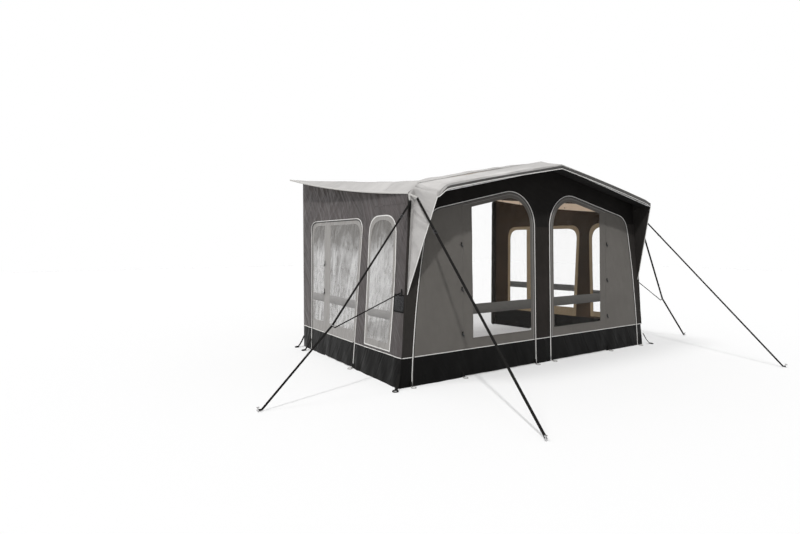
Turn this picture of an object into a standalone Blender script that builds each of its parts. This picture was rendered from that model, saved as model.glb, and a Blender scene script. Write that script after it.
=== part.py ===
"""An air-beam awning with a gabled front, built as separate pieces.

Metres, +Z up. The origin lies on the ground in the middle of the footprint, +X points
to the right-hand wall seen from outside the front, and +Y points to the rail side.
Depths are counted from the foot of the front wall, and heights from the ground.
"""
import math

import bmesh
import bpy
from mathutils import Matrix, Vector

# Plan and heights of the whole awning
DEPTH = 2.875
FRONT_HALF_WIDTH = 2.300
WALL_TAPER = 0.310
REAR_HALF_WIDTH = FRONT_HALF_WIDTH - WALL_TAPER
ROOF_OVERHANG = 0.210
ROOF_REAR_HALF_WIDTH = REAR_HALF_WIDTH + ROOF_OVERHANG
SHOULDER_INSET = 0.300
SHOULDER_HALF_WIDTH = FRONT_HALF_WIDTH - SHOULDER_INSET
RIDGE_HEIGHT = 2.590
RIDGE_OVER_RAIL = 0.125
RAIL_HEIGHT = RIDGE_HEIGHT - RIDGE_OVER_RAIL
GABLE_RISE = 0.400
SHOULDER_HEIGHT = RIDGE_HEIGHT - GABLE_RISE
SHOULDER_DROP = 0.115
EAVE_HEIGHT = SHOULDER_HEIGHT - SHOULDER_DROP
CORNER_INSET = 0.158
FRONT_SETBACK = 0.057
ROOF_SAG = 0.045
EAVE_SAG = 0.050
SKIRT_HEIGHT = 0.316

# Sheets and the clearances between them
FABRIC = 0.006
PANE = 0.003
SEAM = 0.0003
WALL_TOP_GAP = 0.004
SWEEP_GAP = 0.012

# Front visor and its two side wings
VISOR_REACH = 0.260
VISOR_FALL = 0.051
FASCIA_TOP = RIDGE_HEIGHT - VISOR_FALL
FASCIA_DEPTH = 0.075
FASCIA_BOTTOM = FASCIA_TOP - FASCIA_DEPTH
VISOR_END_INSET = 0.004
VISOR_HALF_WIDTH = SHOULDER_HALF_WIDTH - VISOR_END_INSET
VISOR_SPREAD = 0.045
VISOR_WALL_HALF_WIDTH = SHOULDER_HALF_WIDTH + VISOR_SPREAD
VISOR_END_FALL = 0.080
VISOR_END_TOP = SHOULDER_HEIGHT - VISOR_END_FALL
VISOR_END_DEPTH = 0.062
VISOR_END_BOTTOM = VISOR_END_TOP - VISOR_END_DEPTH
LINING_DROP = 0.065
VISOR_SEAT = 0.0020
VISOR_POLE_RADIUS = 0.008
VISOR_ELBOW_RADIUS = 0.010
VISOR_ELBOW_ARM = 0.060
VISOR_POLE_GAP = 0.0009
VISOR_POLE_LIFT = 0.005
WING_TIP_INSET = 0.128
WING_TIP_X = FRONT_HALF_WIDTH - WING_TIP_INSET
WING_LENGTH = 1.083
WING_TIP_HEIGHT = EAVE_HEIGHT - WING_LENGTH

# Front doors: the zip line, the fold line and the window
DOOR_INNER_X = 0.152
DOOR_ARCH_RADIUS = 0.420
DOOR_HEAD = 0.844
DOOR_ARCH_HEIGHT = RIDGE_HEIGHT - DOOR_HEAD
DOOR_TOP_FALL = 0.215
CORNER_STRIP = 0.170
DOOR_OUTER_X = FRONT_HALF_WIDTH - CORNER_STRIP
DOOR_OUTER_LEAN = 0.100
DOOR_OUTER_BOW = 0.204
DOOR_CORNER_DROP = 0.075
DOOR_TOP_HEIGHT = EAVE_HEIGHT - DOOR_CORNER_DROP
DOOR_CORNER = 0.170
DOOR_FOLD_X = 1.360
WINDOW_BORDER = 0.072
WINDOW_OUTER_X = 1.225
WINDOW_SILL = 0.440

# Side walls: the door, its fold line and the narrow window
SIDE_DOOR_FRONT_SHARE = 0.4
SIDE_DOOR_FRONT_FOOT = DEPTH * SIDE_DOOR_FRONT_SHARE
SIDE_DOOR_FRONT_LEAN = 0.125
SIDE_DOOR_FRONT_TOP = SIDE_DOOR_FRONT_FOOT - SIDE_DOOR_FRONT_LEAN
REAR_STRIP = 0.335
SIDE_DOOR_REAR = DEPTH - REAR_STRIP
SIDE_PANEL_WIDTH = 0.480
SIDE_DOOR_FOLD = SIDE_DOOR_REAR - SIDE_PANEL_WIDTH
SIDE_DOOR_HEAD = 0.240
SIDE_DOOR_TOP = EAVE_HEIGHT - SIDE_DOOR_HEAD
SIDE_DOOR_CORNER = 0.180
SIDE_BORDER = 0.055
SIDE_STRIP = 0.140
SIDE_SILL = 0.460
NARROW_FRONT = 0.270
NARROW_TO_DOOR = 0.288
NARROW_REAR = SIDE_DOOR_FRONT_FOOT - NARROW_TO_DOOR
NARROW_HEAD = 0.215
NARROW_TOP = EAVE_HEIGHT - NARROW_HEAD
NARROW_BOTTOM = 0.345
NARROW_CORNER = 0.220

# Air beams
BEAM_RADIUS = 0.050
BEAM_BEND = 0.200
BEAM_CORNER_GAP = 0.012
BEAM_REAR_GAP = 0.015
BEAM_ROOF_GAP = 0.003
SHOULDER_TO_BEAM = 0.040
SIDE_BEAM_FRONT_X = SHOULDER_HALF_WIDTH - SHOULDER_TO_BEAM
WALL_TO_BEAM = 0.070
SIDE_BEAM_REAR_X = REAR_HALF_WIDTH - WALL_TO_BEAM
FOOT_STUB = 0.020
VALVE_HEIGHT = 0.420
VALVE_RADIUS = 0.026
VALVE_LENGTH = 0.016
VALVE_CAP_RADIUS = 0.023
VALVE_CAP_LENGTH = 0.014
VALVE_LUG = 0.005

# Rear edge
BEADING_RADIUS = 0.0035
PAD_WIDTH = 0.080
PAD_DEPTH = 0.060
PAD_HEAD = 0.135
PAD_HEIGHT = RAIL_HEIGHT - PAD_HEAD

# Zip sliders and corner pockets
SLIDER_WIDTH = 0.014
SLIDER_HEIGHT = 0.034
SLIDER_THICKNESS = 0.006
SLIDER_REST = 0.060
SLIDER_GAP = 0.0004
POCKET_FRONT = 0.050
POCKET_REAR = 0.250
POCKET_BOTTOM = 0.800
POCKET_TOP = 0.980
POCKET_DEPTH = 0.016
POCKET_GAP = 0.0006

# Guys, their tensioners and pegs
GUY_RADIUS = 0.010
LINK_RADIUS = 0.006
GUY_STUB = 0.030
CORD_GAP = 0.0004
GUY_ANCHOR_DROP = 0.085
GUY_ANCHOR_HEIGHT = EAVE_HEIGHT - GUY_ANCHOR_DROP
GUY_ANCHOR_INSET = 0.027
WING_ANCHOR_SHARE = 0.150
LINK_ANCHOR_DEPTH = 0.110
LINK_ANCHOR_HEIGHT = 1.010
PEG_RADIUS = 0.006
PEG_HEIGHT = 0.045
PEG_HEAD_RADIUS = 0.014
PEG_HEAD_HEIGHT = 0.008
TENSIONER_LENGTH = 0.050
TENSIONER_WIDTH = 0.040
TENSIONER_THICKNESS = 0.028
FRONT_TENSIONER_SHARE = 0.175
SIDE_TENSIONER_SHARE = 0.120

# Where each guy meets the ground and its link, as (half width, depth, height)
FRONT_PEGS = {-1: (2.288, -1.944, 0.0), 1: (2.199, -1.963, 0.0)}
SIDE_PEGS = {-1: (3.819, 0.094, 0.0), 1: (3.622, 0.044, 0.0)}
LINK_JOINTS = {-1: (3.067, 0.055, 0.735), 1: (2.905, 0.045, 0.655)}

# Counts and places of cuts
ARC_STEPS = 8
CORNER_STEPS = 4
EDGE_STEPS = 5
ROOF_ROWS = 8
BEND_STEPS = 5
ROUND_SIDES = 16
ROOF_COLUMN_SHARES = (0.0, 0.25, 0.5, 0.75, 1.0)
WALL_CUT_SHARES = (0.0, 0.15, 0.3, 0.45, 0.6, 0.75, 0.9, 1.0)

FRONT_Y = (VISOR_REACH - DEPTH) / 2
FRONT_LEAN = FRONT_SETBACK / EAVE_HEIGHT
CORNER_LEAN = CORNER_INSET / EAVE_HEIGHT
GABLE_FALL = (RIDGE_HEIGHT - SHOULDER_HEIGHT) / SHOULDER_HALF_WIDTH
SIDES = {"left": -1, "right": 1}
PARTS = "air_beam_awning"
CUTTERS = "cutters"


def material(name, colour, roughness, metallic=0.0, alpha=1.0):
    """Return a Principled material of one colour."""
    mat = bpy.data.materials.new(name)
    mat.use_nodes = True
    shader = mat.node_tree.nodes["Principled BSDF"]
    shader.inputs["Base Color"].default_value = (*colour, 1.0)
    shader.inputs["Roughness"].default_value = roughness
    shader.inputs["Metallic"].default_value = metallic
    shader.inputs["Alpha"].default_value = alpha
    mat.diffuse_color = (*colour, alpha)
    return mat


def make_materials():
    """Return every finish of the awning by name."""
    return {
        "roof": material("roof_fabric", (0.56, 0.54, 0.52), 0.75),
        "wall": material("wall_fabric", (0.11, 0.10, 0.095), 0.80),
        "door": material("door_fabric", (0.16, 0.155, 0.145), 0.80),
        "gable": material("gable_fabric", (0.025, 0.024, 0.022), 0.80),
        "skirt": material("skirt_vinyl", (0.012, 0.012, 0.011), 0.55),
        "pane": material("clear_vinyl", (0.80, 0.82, 0.82), 0.08, alpha=0.30),
        "beam": material("beam_sleeve", (0.45, 0.44, 0.42), 0.65),
        "foam": material("pad_cover", (0.06, 0.06, 0.06), 0.85),
        "plastic": material("black_plastic", (0.015, 0.015, 0.016), 0.45),
        "webbing": material("black_webbing", (0.012, 0.012, 0.013), 0.80),
        "steel": material("plated_steel", (0.55, 0.55, 0.56), 0.35, metallic=1.0),
    }


def start_scene():
    """Empty the scene and make the collections for parts and cutters."""
    for obj in list(bpy.data.objects):
        bpy.data.objects.remove(obj, do_unlink=True)
    for name in (PARTS, CUTTERS):
        bpy.context.scene.collection.children.link(bpy.data.collections.new(name))


def add_object(name, data, mat=None, collection=PARTS):
    """Link a new object with the given mesh or curve and return it."""
    obj = bpy.data.objects.new(name, data)
    bpy.data.collections[collection].objects.link(obj)
    if mat:
        data.materials.append(mat)
    return obj


def mesh_from(obj):
    """Turn a curve object into a mesh object of the same name, caps welded."""
    graph = bpy.context.evaluated_depsgraph_get()
    mesh = bpy.data.meshes.new_from_object(obj.evaluated_get(graph))
    work = bmesh.new()
    work.from_mesh(mesh)
    bmesh.ops.remove_doubles(work, verts=work.verts, dist=SEAM / 50)
    work.to_mesh(mesh)
    work.free()
    name, matrix, mat = obj.name, obj.matrix_world.copy(), obj.active_material
    curve = obj.data
    bpy.data.objects.remove(obj, do_unlink=True)
    bpy.data.curves.remove(curve)
    mesh.materials.clear()
    made = add_object(name, mesh, mat)
    made.matrix_world = matrix
    return made


def face_outwards(work):
    """Turn every face of a closed mesh outwards, also on a thin sheet."""
    bmesh.ops.recalc_face_normals(work, faces=work.faces)
    if work.calc_volume(signed=True) < 0:
        bmesh.ops.reverse_faces(work, faces=work.faces)


def set_pivot(obj, pivot):
    """Move an object's origin to a point and leave its mesh where it is."""
    obj.data.transform(Matrix.Translation(-Vector(pivot)))
    obj.location = pivot


def spline(curve, points, cyclic):
    """Add one POLY spline through 2D or 3D points."""
    line = curve.splines.new("POLY")
    line.points.add(len(points) - 1)
    for knot, point in zip(line.points, points):
        knot.co = (*point, 0.0, 1.0) if len(point) == 2 else (*point, 1.0)
    line.use_cyclic_u = cyclic


def sheet(name, loops, thickness, place, mat, cuts=((), ())):
    """Make a flat outline with holes, give it thickness and lay it on a surface.

    The loops are in (along, up) sizes. The cuts are lines along and up at which the
    sheet's faces are divided, so that it can follow a surface that twists. The place
    function takes (along, up, inward) to a point of the awning.
    """
    curve = bpy.data.curves.new(name, "CURVE")
    curve.dimensions = "2D"
    curve.fill_mode = "BOTH"
    curve.extrude = thickness / 2
    for loop in loops:
        spline(curve, loop, True)
    obj = mesh_from(add_object(name, curve, mat))
    work = bmesh.new()
    work.from_mesh(obj.data)
    for axis, places in enumerate(cuts):
        for value in places:
            point, normal = [0.0, 0.0, 0.0], [0.0, 0.0, 0.0]
            point[axis], normal[axis] = value, 1.0
            everything = list(work.verts) + list(work.edges) + list(work.faces)
            bmesh.ops.bisect_plane(work, geom=everything, dist=SEAM / 50,
                                   plane_co=point, plane_no=normal)
    for vert in work.verts:
        vert.co = place(vert.co.x, vert.co.y, vert.co.z + thickness / 2)
    face_outwards(work)
    work.to_mesh(obj.data)
    work.free()
    return obj


def tube(name, points, radius, mat, resolution):
    """Make a round bar along a line of points, with flat ends."""
    curve = bpy.data.curves.new(name, "CURVE")
    curve.dimensions = "3D"
    curve.bevel_depth = radius
    curve.bevel_resolution = resolution
    curve.use_fill_caps = True
    spline(curve, points, False)
    return add_object(name, curve, mat)


def turned(name, profile, mat, sides=ROUND_SIDES):
    """Turn a profile of (radius, height) about Z with a Screw modifier."""
    mesh = bpy.data.meshes.new(name)
    work = bmesh.new()
    knots = [work.verts.new((radius, 0.0, height)) for radius, height in profile]
    for first, second in zip(knots, knots[1:]):
        work.edges.new((first, second))
    work.to_mesh(mesh)
    work.free()
    obj = add_object(name, mesh, mat)
    screw = obj.modifiers.new("Turn", "SCREW")
    screw.axis = "Z"
    screw.steps = screw.render_steps = sides
    screw.use_merge_vertices = True
    screw.merge_threshold = SEAM / 50
    return obj


def block(name, size, centre, mat, collection=PARTS):
    """Make a box of the given size about a centre."""
    mesh = bpy.data.meshes.new(name)
    work = bmesh.new()
    bmesh.ops.create_cube(work, size=1.0)
    bmesh.ops.scale(work, vec=size, verts=work.verts)
    work.to_mesh(mesh)
    work.free()
    obj = add_object(name, mesh, mat, collection)
    obj.location = centre
    return obj


def cutter_rod(name, radius, length, matrix):
    """Make a round cutter or joining rod along its own Z."""
    mesh = bpy.data.meshes.new(name)
    work = bmesh.new()
    bmesh.ops.create_cone(work, cap_ends=True, segments=ROUND_SIDES, radius1=radius,
                          radius2=radius, depth=length)
    work.to_mesh(mesh)
    work.free()
    obj = add_object(name, mesh, None, CUTTERS)
    obj.matrix_world = matrix
    obj.hide_render = True
    obj.display_type = "WIRE"
    return obj


def combine(obj, other, operation):
    """Cut an object with another, or join the two, by a Boolean modifier."""
    step = obj.modifiers.new(operation.title(), "BOOLEAN")
    step.operation = operation
    step.solver = "EXACT"
    step.object = other


def bezier(start, middle, end, steps):
    """Return points of a quadratic curve, both ends included."""
    points = []
    for index in range(steps + 1):
        t = index / steps
        points.append(tuple((1 - t) ** 2 * a + 2 * t * (1 - t) * b + t ** 2 * c
                            for a, b, c in zip(start, middle, end)))
    return points


def wall_x(depth, height):
    """Return the half width of the side wall's outer face."""
    forward = 1 - depth / DEPTH
    spread = (FRONT_HALF_WIDTH - REAR_HALF_WIDTH) * forward
    return REAR_HALF_WIDTH + spread - CORNER_LEAN * height * forward


def corner_x(height):
    """Return the half width of the front wall at its corner."""
    return wall_x(FRONT_LEAN * height, height)


def on_front(along, up, inward):
    """Lay a point on the front wall, counted inward from its outer face."""
    return Vector((along, FRONT_Y + FRONT_LEAN * up + inward, up))


def on_side(side):
    """Return the function that lays a point on one side wall."""
    def place(along, up, inward):
        return Vector((side * (wall_x(along, up) - inward), FRONT_Y + along, up))
    return place


def wall_normal(side, depth, height):
    """Return the outward normal of a side wall."""
    place = on_side(side)
    along = place(depth + SEAM, height, 0.0) - place(depth, height, 0.0)
    upward = place(depth, height + SEAM, 0.0) - place(depth, height, 0.0)
    return (along.cross(upward) * side).normalized()


def roof_row(share):
    """Return the roof's cross-section at a share of the depth, as (half width, height)."""
    dip = 4 * share * (1 - share)
    ridge = RIDGE_HEIGHT + (RAIL_HEIGHT - RIDGE_HEIGHT) * share
    shoulder = SHOULDER_HEIGHT + (RAIL_HEIGHT - SHOULDER_HEIGHT) * share
    edge = EAVE_HEIGHT + FABRIC + (RAIL_HEIGHT - EAVE_HEIGHT - FABRIC) * share - EAVE_SAG * dip
    edge_x = corner_x(EAVE_HEIGHT) + (ROOF_REAR_HALF_WIDTH - corner_x(EAVE_HEIGHT)) * share
    points = []
    for part in ROOF_COLUMN_SHARES:
        hang = ROOF_SAG * dip * math.sin(math.pi * part)
        points.append((SHOULDER_HALF_WIDTH * part, ridge + (shoulder - ridge) * part - hang))
    return points + [(edge_x, edge)]


def roof_depth(column, share):
    """Return how deep a column of the roof lies at a share of its run to the rail."""
    front = FRONT_LEAN * roof_row(0.0)[column][1]
    return front + (DEPTH - 2 * BEADING_RADIUS - SEAM - front) * share


def roof_knot(column, depth):
    """Return (half width, height) of a roof column at a depth, along its own facets."""
    start, end = roof_depth(column, 0.0), roof_depth(column, 1.0)
    place = max(0.0, min(ROOF_ROWS, (depth - start) / (end - start) * ROOF_ROWS))
    row = min(int(place), ROOF_ROWS - 1)
    near, far = roof_row(row / ROOF_ROWS)[column], roof_row((row + 1) / ROOF_ROWS)[column]
    return [a + (b - a) * (place - row) for a, b in zip(near, far)]


def roof_height(half_width, depth):
    """Return the height of the roof's top face over a point of the plan."""
    line = [roof_knot(column, depth) for column in range(len(ROOF_COLUMN_SHARES) + 1)]
    for (x1, z1), (x2, z2) in zip(line, line[1:]):
        if half_width <= x2:
            return z1 + (z2 - z1) * (half_width - x1) / (x2 - x1)
    return line[-1][1]


def wall_top(depth):
    """Return the height of a side wall's top edge under the roof."""
    height = EAVE_HEIGHT
    for _ in range(ARC_STEPS):
        height = roof_height(wall_x(depth, height), depth) - FABRIC - WALL_TOP_GAP
    return height


class FrontDoor:
    """The outline of a front door, drawn a given distance inside its zip line."""

    def __init__(self, inset):
        """Set how far inside the zip line the outline runs."""
        self.inset = inset
        self.radius = DOOR_ARCH_RADIUS - inset
        self.centre_x = DOOR_INNER_X + DOOR_ARCH_RADIUS
        self.tilt = math.atan(DOOR_TOP_FALL)

    def top(self, along):
        """Return the height of the sloping top edge."""
        start_x = self.centre_x + self.radius * math.sin(self.tilt)
        start_z = DOOR_ARCH_HEIGHT + self.radius * math.cos(self.tilt)
        return start_z - DOOR_TOP_FALL * (along - start_x)

    def outer(self, up):
        """Return how far out the outer edge stands at a height."""
        share = up / DOOR_TOP_HEIGHT
        return DOOR_OUTER_X - DOOR_OUTER_LEAN * share - DOOR_OUTER_BOW * share ** 2 - self.inset

    def arch(self, bottom):
        """Return the inner edge and the arch, from the bottom up to the sloping edge."""
        points = [(DOOR_INNER_X + self.inset, bottom)]
        for index in range(ARC_STEPS + 1):
            angle = math.pi - (math.pi / 2 + self.tilt) * index / ARC_STEPS
            points.append((self.centre_x + self.radius * math.cos(angle),
                           DOOR_ARCH_HEIGHT + self.radius * math.sin(angle)))
        return points

    def shoulder(self, bottom):
        """Return the outer corner and edge, from the sloping edge down to the bottom."""
        up = DOOR_TOP_HEIGHT
        for _ in range(ARC_STEPS):
            up = self.top(self.outer(up))
        corner = (self.outer(up), up)
        inner_end = (corner[0] - DOOR_CORNER, self.top(corner[0] - DOOR_CORNER))
        lower_end = (self.outer(up - DOOR_CORNER), up - DOOR_CORNER)
        points = bezier(inner_end, corner, lower_end, CORNER_STEPS)
        for index in range(1, EDGE_STEPS + 1):
            height = lower_end[1] + (SKIRT_HEIGHT - lower_end[1]) * index / EDGE_STEPS
            points.append((self.outer(height), height))
        if bottom < SKIRT_HEIGHT:
            points.append((self.outer(bottom), bottom))
        return points

    def mirrored(self, side, points):
        """Return the points on the left or right of the centre line."""
        return [(side * along, up) for along, up in points]


def rounded_top(front, rear, bottom, top, corner, front_foot=None):
    """Return an outline with a level top and two round upper corners.

    The front edge may lean: front_foot is then its place at the ground.
    """
    foot = front if front_foot is None else front_foot

    def front_at(height):
        return foot + (front - foot) * height / top

    points = [(rear, bottom)]
    points += bezier((rear, top - corner), (rear, top), (rear - corner, top), CORNER_STEPS)
    points += bezier((front + corner, top), (front, top),
                     (front_at(top - corner), top - corner), CORNER_STEPS)
    return points + [(front_at(bottom), bottom)]


def side_door_loop(inset, bottom):
    """Return the whole side door's outline, a given distance inside its zip line."""
    return rounded_top(SIDE_DOOR_FRONT_TOP + inset, SIDE_DOOR_REAR - inset, bottom,
                       SIDE_DOOR_TOP - inset, SIDE_DOOR_CORNER,
                       SIDE_DOOR_FRONT_FOOT + inset)


def narrow_loop(inset):
    """Return the narrow side window's outline."""
    return rounded_top(NARROW_FRONT + inset, NARROW_REAR - inset, NARROW_BOTTOM + inset,
                       NARROW_TOP - inset, NARROW_CORNER)


def clipped(loop, axis, limit, keep_low):
    """Return a loop cut straight across at a limit along one of its axes."""
    def inside(point):
        return point[axis] <= limit if keep_low else point[axis] >= limit

    points = []
    for first, second in zip(loop, loop[1:] + loop[:1]):
        if inside(first):
            points.append(first)
        if inside(first) != inside(second):
            t = (limit - first[axis]) / (second[axis] - first[axis])
            points.append(tuple(a + (b - a) * t for a, b in zip(first, second)))
    return points


def wall_cuts():
    """Return the lines that divide a side wall's faces so that they follow its twist."""
    along = [DEPTH * share for share in WALL_CUT_SHARES[1:-1]]
    along += [POCKET_FRONT, POCKET_REAR, DEPTH - PAD_DEPTH]
    up = [wall_top(DEPTH) * share for share in WALL_CUT_SHARES[1:-1]]
    up += [POCKET_BOTTOM, POCKET_TOP]
    return along, up


def build_front_wall(mats):
    """Build the gabled front frame, its centre post and the skirt below the post."""
    zip_line = FrontDoor(-SEAM)
    half = [(DOOR_INNER_X - SEAM, SKIRT_HEIGHT)] + zip_line.arch(SKIRT_HEIGHT)[1:]
    half += zip_line.shoulder(SKIRT_HEIGHT)
    under = FABRIC + SEAM
    half += [(corner_x(SKIRT_HEIGHT), SKIRT_HEIGHT),
             (corner_x(EAVE_HEIGHT - SEAM), EAVE_HEIGHT - SEAM),
             (SHOULDER_HALF_WIDTH, SHOULDER_HEIGHT - under)]
    peak = [(0.0, RIDGE_HEIGHT - under)]
    loop = half + peak + [(-along, up) for along, up in reversed(half)]
    sheet("front_wall", [loop], FABRIC, on_front, mats["gable"])
    post = DOOR_INNER_X - SEAM
    top = SKIRT_HEIGHT - SEAM
    sheet("mud_skirt_centre", [[(-post, 0.0), (post, 0.0), (post, top), (-post, top)]],
          FABRIC, on_front, mats["skirt"])


def front_window_loop(inset):
    """Return the outline of a front door's window."""
    border = FrontDoor(WINDOW_BORDER + inset)
    outer, sill = WINDOW_OUTER_X - inset, WINDOW_SILL + inset
    return border.arch(sill) + [(outer, border.top(outer)), (outer, sill)]


def build_front_door(label, side, mats):
    """Build one front door: the flap, its window and the fixed outer panel."""
    edge = FrontDoor(SEAM)
    fold = DOOR_FOLD_X - SEAM
    flap = edge.arch(SWEEP_GAP) + [(fold, edge.top(fold)), (fold, SWEEP_GAP)]
    loops = [edge.mirrored(side, loop) for loop in (flap, front_window_loop(0.0))]
    door = sheet(f"front_door_{label}", loops, FABRIC, on_front, mats["door"])
    pivot = on_front(side * DOOR_FOLD_X, 0.0, 0.0)
    set_pivot(door, pivot)
    pane = sheet(f"front_window_{label}", [edge.mirrored(side, front_window_loop(SEAM))], PANE,
                 on_front, mats["pane"])
    set_pivot(pane, pivot)
    start = DOOR_FOLD_X + SEAM
    panel = [(start, 0.0), (start, edge.top(start))] + edge.shoulder(0.0)
    sheet(f"front_panel_{label}", [edge.mirrored(side, panel)], FABRIC, on_front, mats["door"])


def build_side_wall(label, side, mats):
    """Build one side wall with its narrow window."""
    place = on_side(side)
    seat = FABRIC + SEAM
    along_cuts, up_cuts = wall_cuts()
    top_edge = [(DEPTH * share, wall_top(DEPTH * share)) for share in WALL_CUT_SHARES[1:]]
    front_top = wall_top(seat)
    door = side_door_loop(-SEAM, SKIRT_HEIGHT)
    loop = [(FRONT_LEAN * SKIRT_HEIGHT + seat, SKIRT_HEIGHT),
            (FRONT_LEAN * front_top + seat, front_top)]
    loop += top_edge + [(DEPTH, SKIRT_HEIGHT)] + door
    sheet(f"side_wall_{label}", [loop, narrow_loop(-SEAM)], FABRIC, place, mats["wall"],
          (along_cuts, up_cuts))
    sheet(f"side_window_{label}", [narrow_loop(SEAM)], PANE, place, mats["pane"],
          (along_cuts, up_cuts))


def side_window_loop(front, rear, inset):
    """Return the outline of a side door's window between two depths."""
    whole = side_door_loop(SIDE_BORDER + inset, SIDE_SILL + inset)
    return clipped(clipped(whole, 0, rear - inset, True), 0, front + inset, False)


def build_side_door(label, side, mats):
    """Build one side door: the flap, the fixed rear panel and their windows."""
    place = on_side(side)
    cuts = wall_cuts()
    strip_front = SIDE_DOOR_FOLD - SIDE_STRIP
    strip_rear = SIDE_DOOR_FOLD + SIDE_BORDER
    flap = clipped(side_door_loop(SEAM, SWEEP_GAP), 0, SIDE_DOOR_FOLD - SEAM, True)
    door = sheet(f"side_door_{label}", [flap, side_window_loop(0.0, strip_front, 0.0)], FABRIC,
                 place, mats["wall"], cuts)
    panel = clipped(side_door_loop(SEAM, 0.0), 0, SIDE_DOOR_FOLD + SEAM, False)
    sheet(f"side_panel_{label}", [panel, side_window_loop(strip_rear, DEPTH, 0.0)], FABRIC,
          place, mats["wall"], cuts)
    pivot = place(SIDE_DOOR_FOLD, 0.0, 0.0)
    set_pivot(door, pivot)
    pane = sheet(f"side_door_window_{label}", [side_window_loop(0.0, strip_front, SEAM)], PANE,
                 place, mats["pane"], cuts)
    set_pivot(pane, pivot)
    sheet(f"side_panel_window_{label}", [side_window_loop(strip_rear, DEPTH, SEAM)], PANE,
          place, mats["pane"], cuts)


def build_skirts(label, side, mats):
    """Build the corner skirt, which turns from front to side, and the rear skirt."""
    place = on_side(side)
    top = SKIRT_HEIGHT - SEAM
    door = FrontDoor(-SEAM)
    zip_foot = SIDE_DOOR_FRONT_FOOT - SEAM
    lean = SIDE_DOOR_FRONT_LEAN / SIDE_DOOR_TOP
    inner_foot = FRONT_HALF_WIDTH - FABRIC
    plan = [(door.outer(0.0), 0.0), (FRONT_HALF_WIDTH, 0.0), (wall_x(zip_foot, 0.0), zip_foot),
            (wall_x(zip_foot, 0.0) - FABRIC, zip_foot), (inner_foot, FABRIC),
            (door.outer(0.0), FABRIC)]

    def stand(along, depth, up):
        share = depth / zip_foot
        if along < FRONT_HALF_WIDTH - 2 * FABRIC and depth < 2 * FABRIC:
            across = along - (door.outer(0.0) - door.outer(up))
        else:
            across = along - CORNER_LEAN * up * (1 - depth / DEPTH)
        back = depth + FRONT_LEAN * up * (1 - share) - lean * up * share
        return Vector((side * across, FRONT_Y + back, up))

    sheet(f"mud_skirt_corner_{label}", [plan], top, stand, mats["skirt"])
    rear = SIDE_DOOR_REAR + SEAM
    loop = [(rear, 0.0), (DEPTH, 0.0), (DEPTH, top), (rear, top)]
    sheet(f"mud_skirt_rear_{label}", [loop], FABRIC, place, mats["skirt"])


def build_roof(mats):
    """Build the roof sheet from the front crest to the rail, with its side eaves."""
    mesh = bpy.data.meshes.new("roof_canopy")
    columns = 2 * len(ROOF_COLUMN_SHARES)
    work = bmesh.new()
    bmesh.ops.create_grid(work, x_segments=columns, y_segments=ROOF_ROWS, size=1.0)
    for vert in work.verts:
        column = round((vert.co.x + 1) / 2 * columns) - columns // 2
        share = (vert.co.y + 1) / 2
        half_width, height = roof_row(share)[abs(column)]
        across = math.copysign(half_width, column)
        vert.co = (across, FRONT_Y + roof_depth(abs(column), share), height)
    made = bmesh.ops.extrude_face_region(work, geom=list(work.faces))
    lower = [item for item in made["geom"] if isinstance(item, bmesh.types.BMVert)]
    bmesh.ops.translate(work, verts=lower, vec=(0.0, 0.0, -FABRIC))
    face_outwards(work)
    work.to_mesh(mesh)
    work.free()
    add_object("roof_canopy", mesh, mats["roof"])
    half = ROOF_REAR_HALF_WIDTH
    height = RAIL_HEIGHT - FABRIC / 2
    back = FRONT_Y + DEPTH - BEADING_RADIUS
    tube("rail_beading", [(-half, back, height), (half, back, height)], BEADING_RADIUS,
         mats["plastic"], 2)


def visor_section(column):
    """Return the visor's outer line at one column, as (half width, depth, height).

    Column 0 is the middle, 1 meets the roof's shoulder and 2 is the visor's end.
    """
    wall_widths = (0.0, SHOULDER_HALF_WIDTH, VISOR_WALL_HALF_WIDTH)
    across = wall_widths[column]
    crest = roof_height(across, 0.0)
    lining = crest - LINING_DROP
    hem = across * VISOR_HALF_WIDTH / VISOR_WALL_HALF_WIDTH
    share = hem / VISOR_HALF_WIDTH
    fascia_top = FASCIA_TOP + (VISOR_END_TOP - FASCIA_TOP) * share
    fascia_bottom = FASCIA_BOTTOM + (VISOR_END_BOTTOM - FASCIA_BOTTOM) * share
    return [(across, FRONT_LEAN * crest - VISOR_SEAT, crest), (hem, -VISOR_REACH, fascia_top),
            (hem, -VISOR_REACH, fascia_bottom), (across, FRONT_LEAN * lining - SEAM, lining)]


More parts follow.
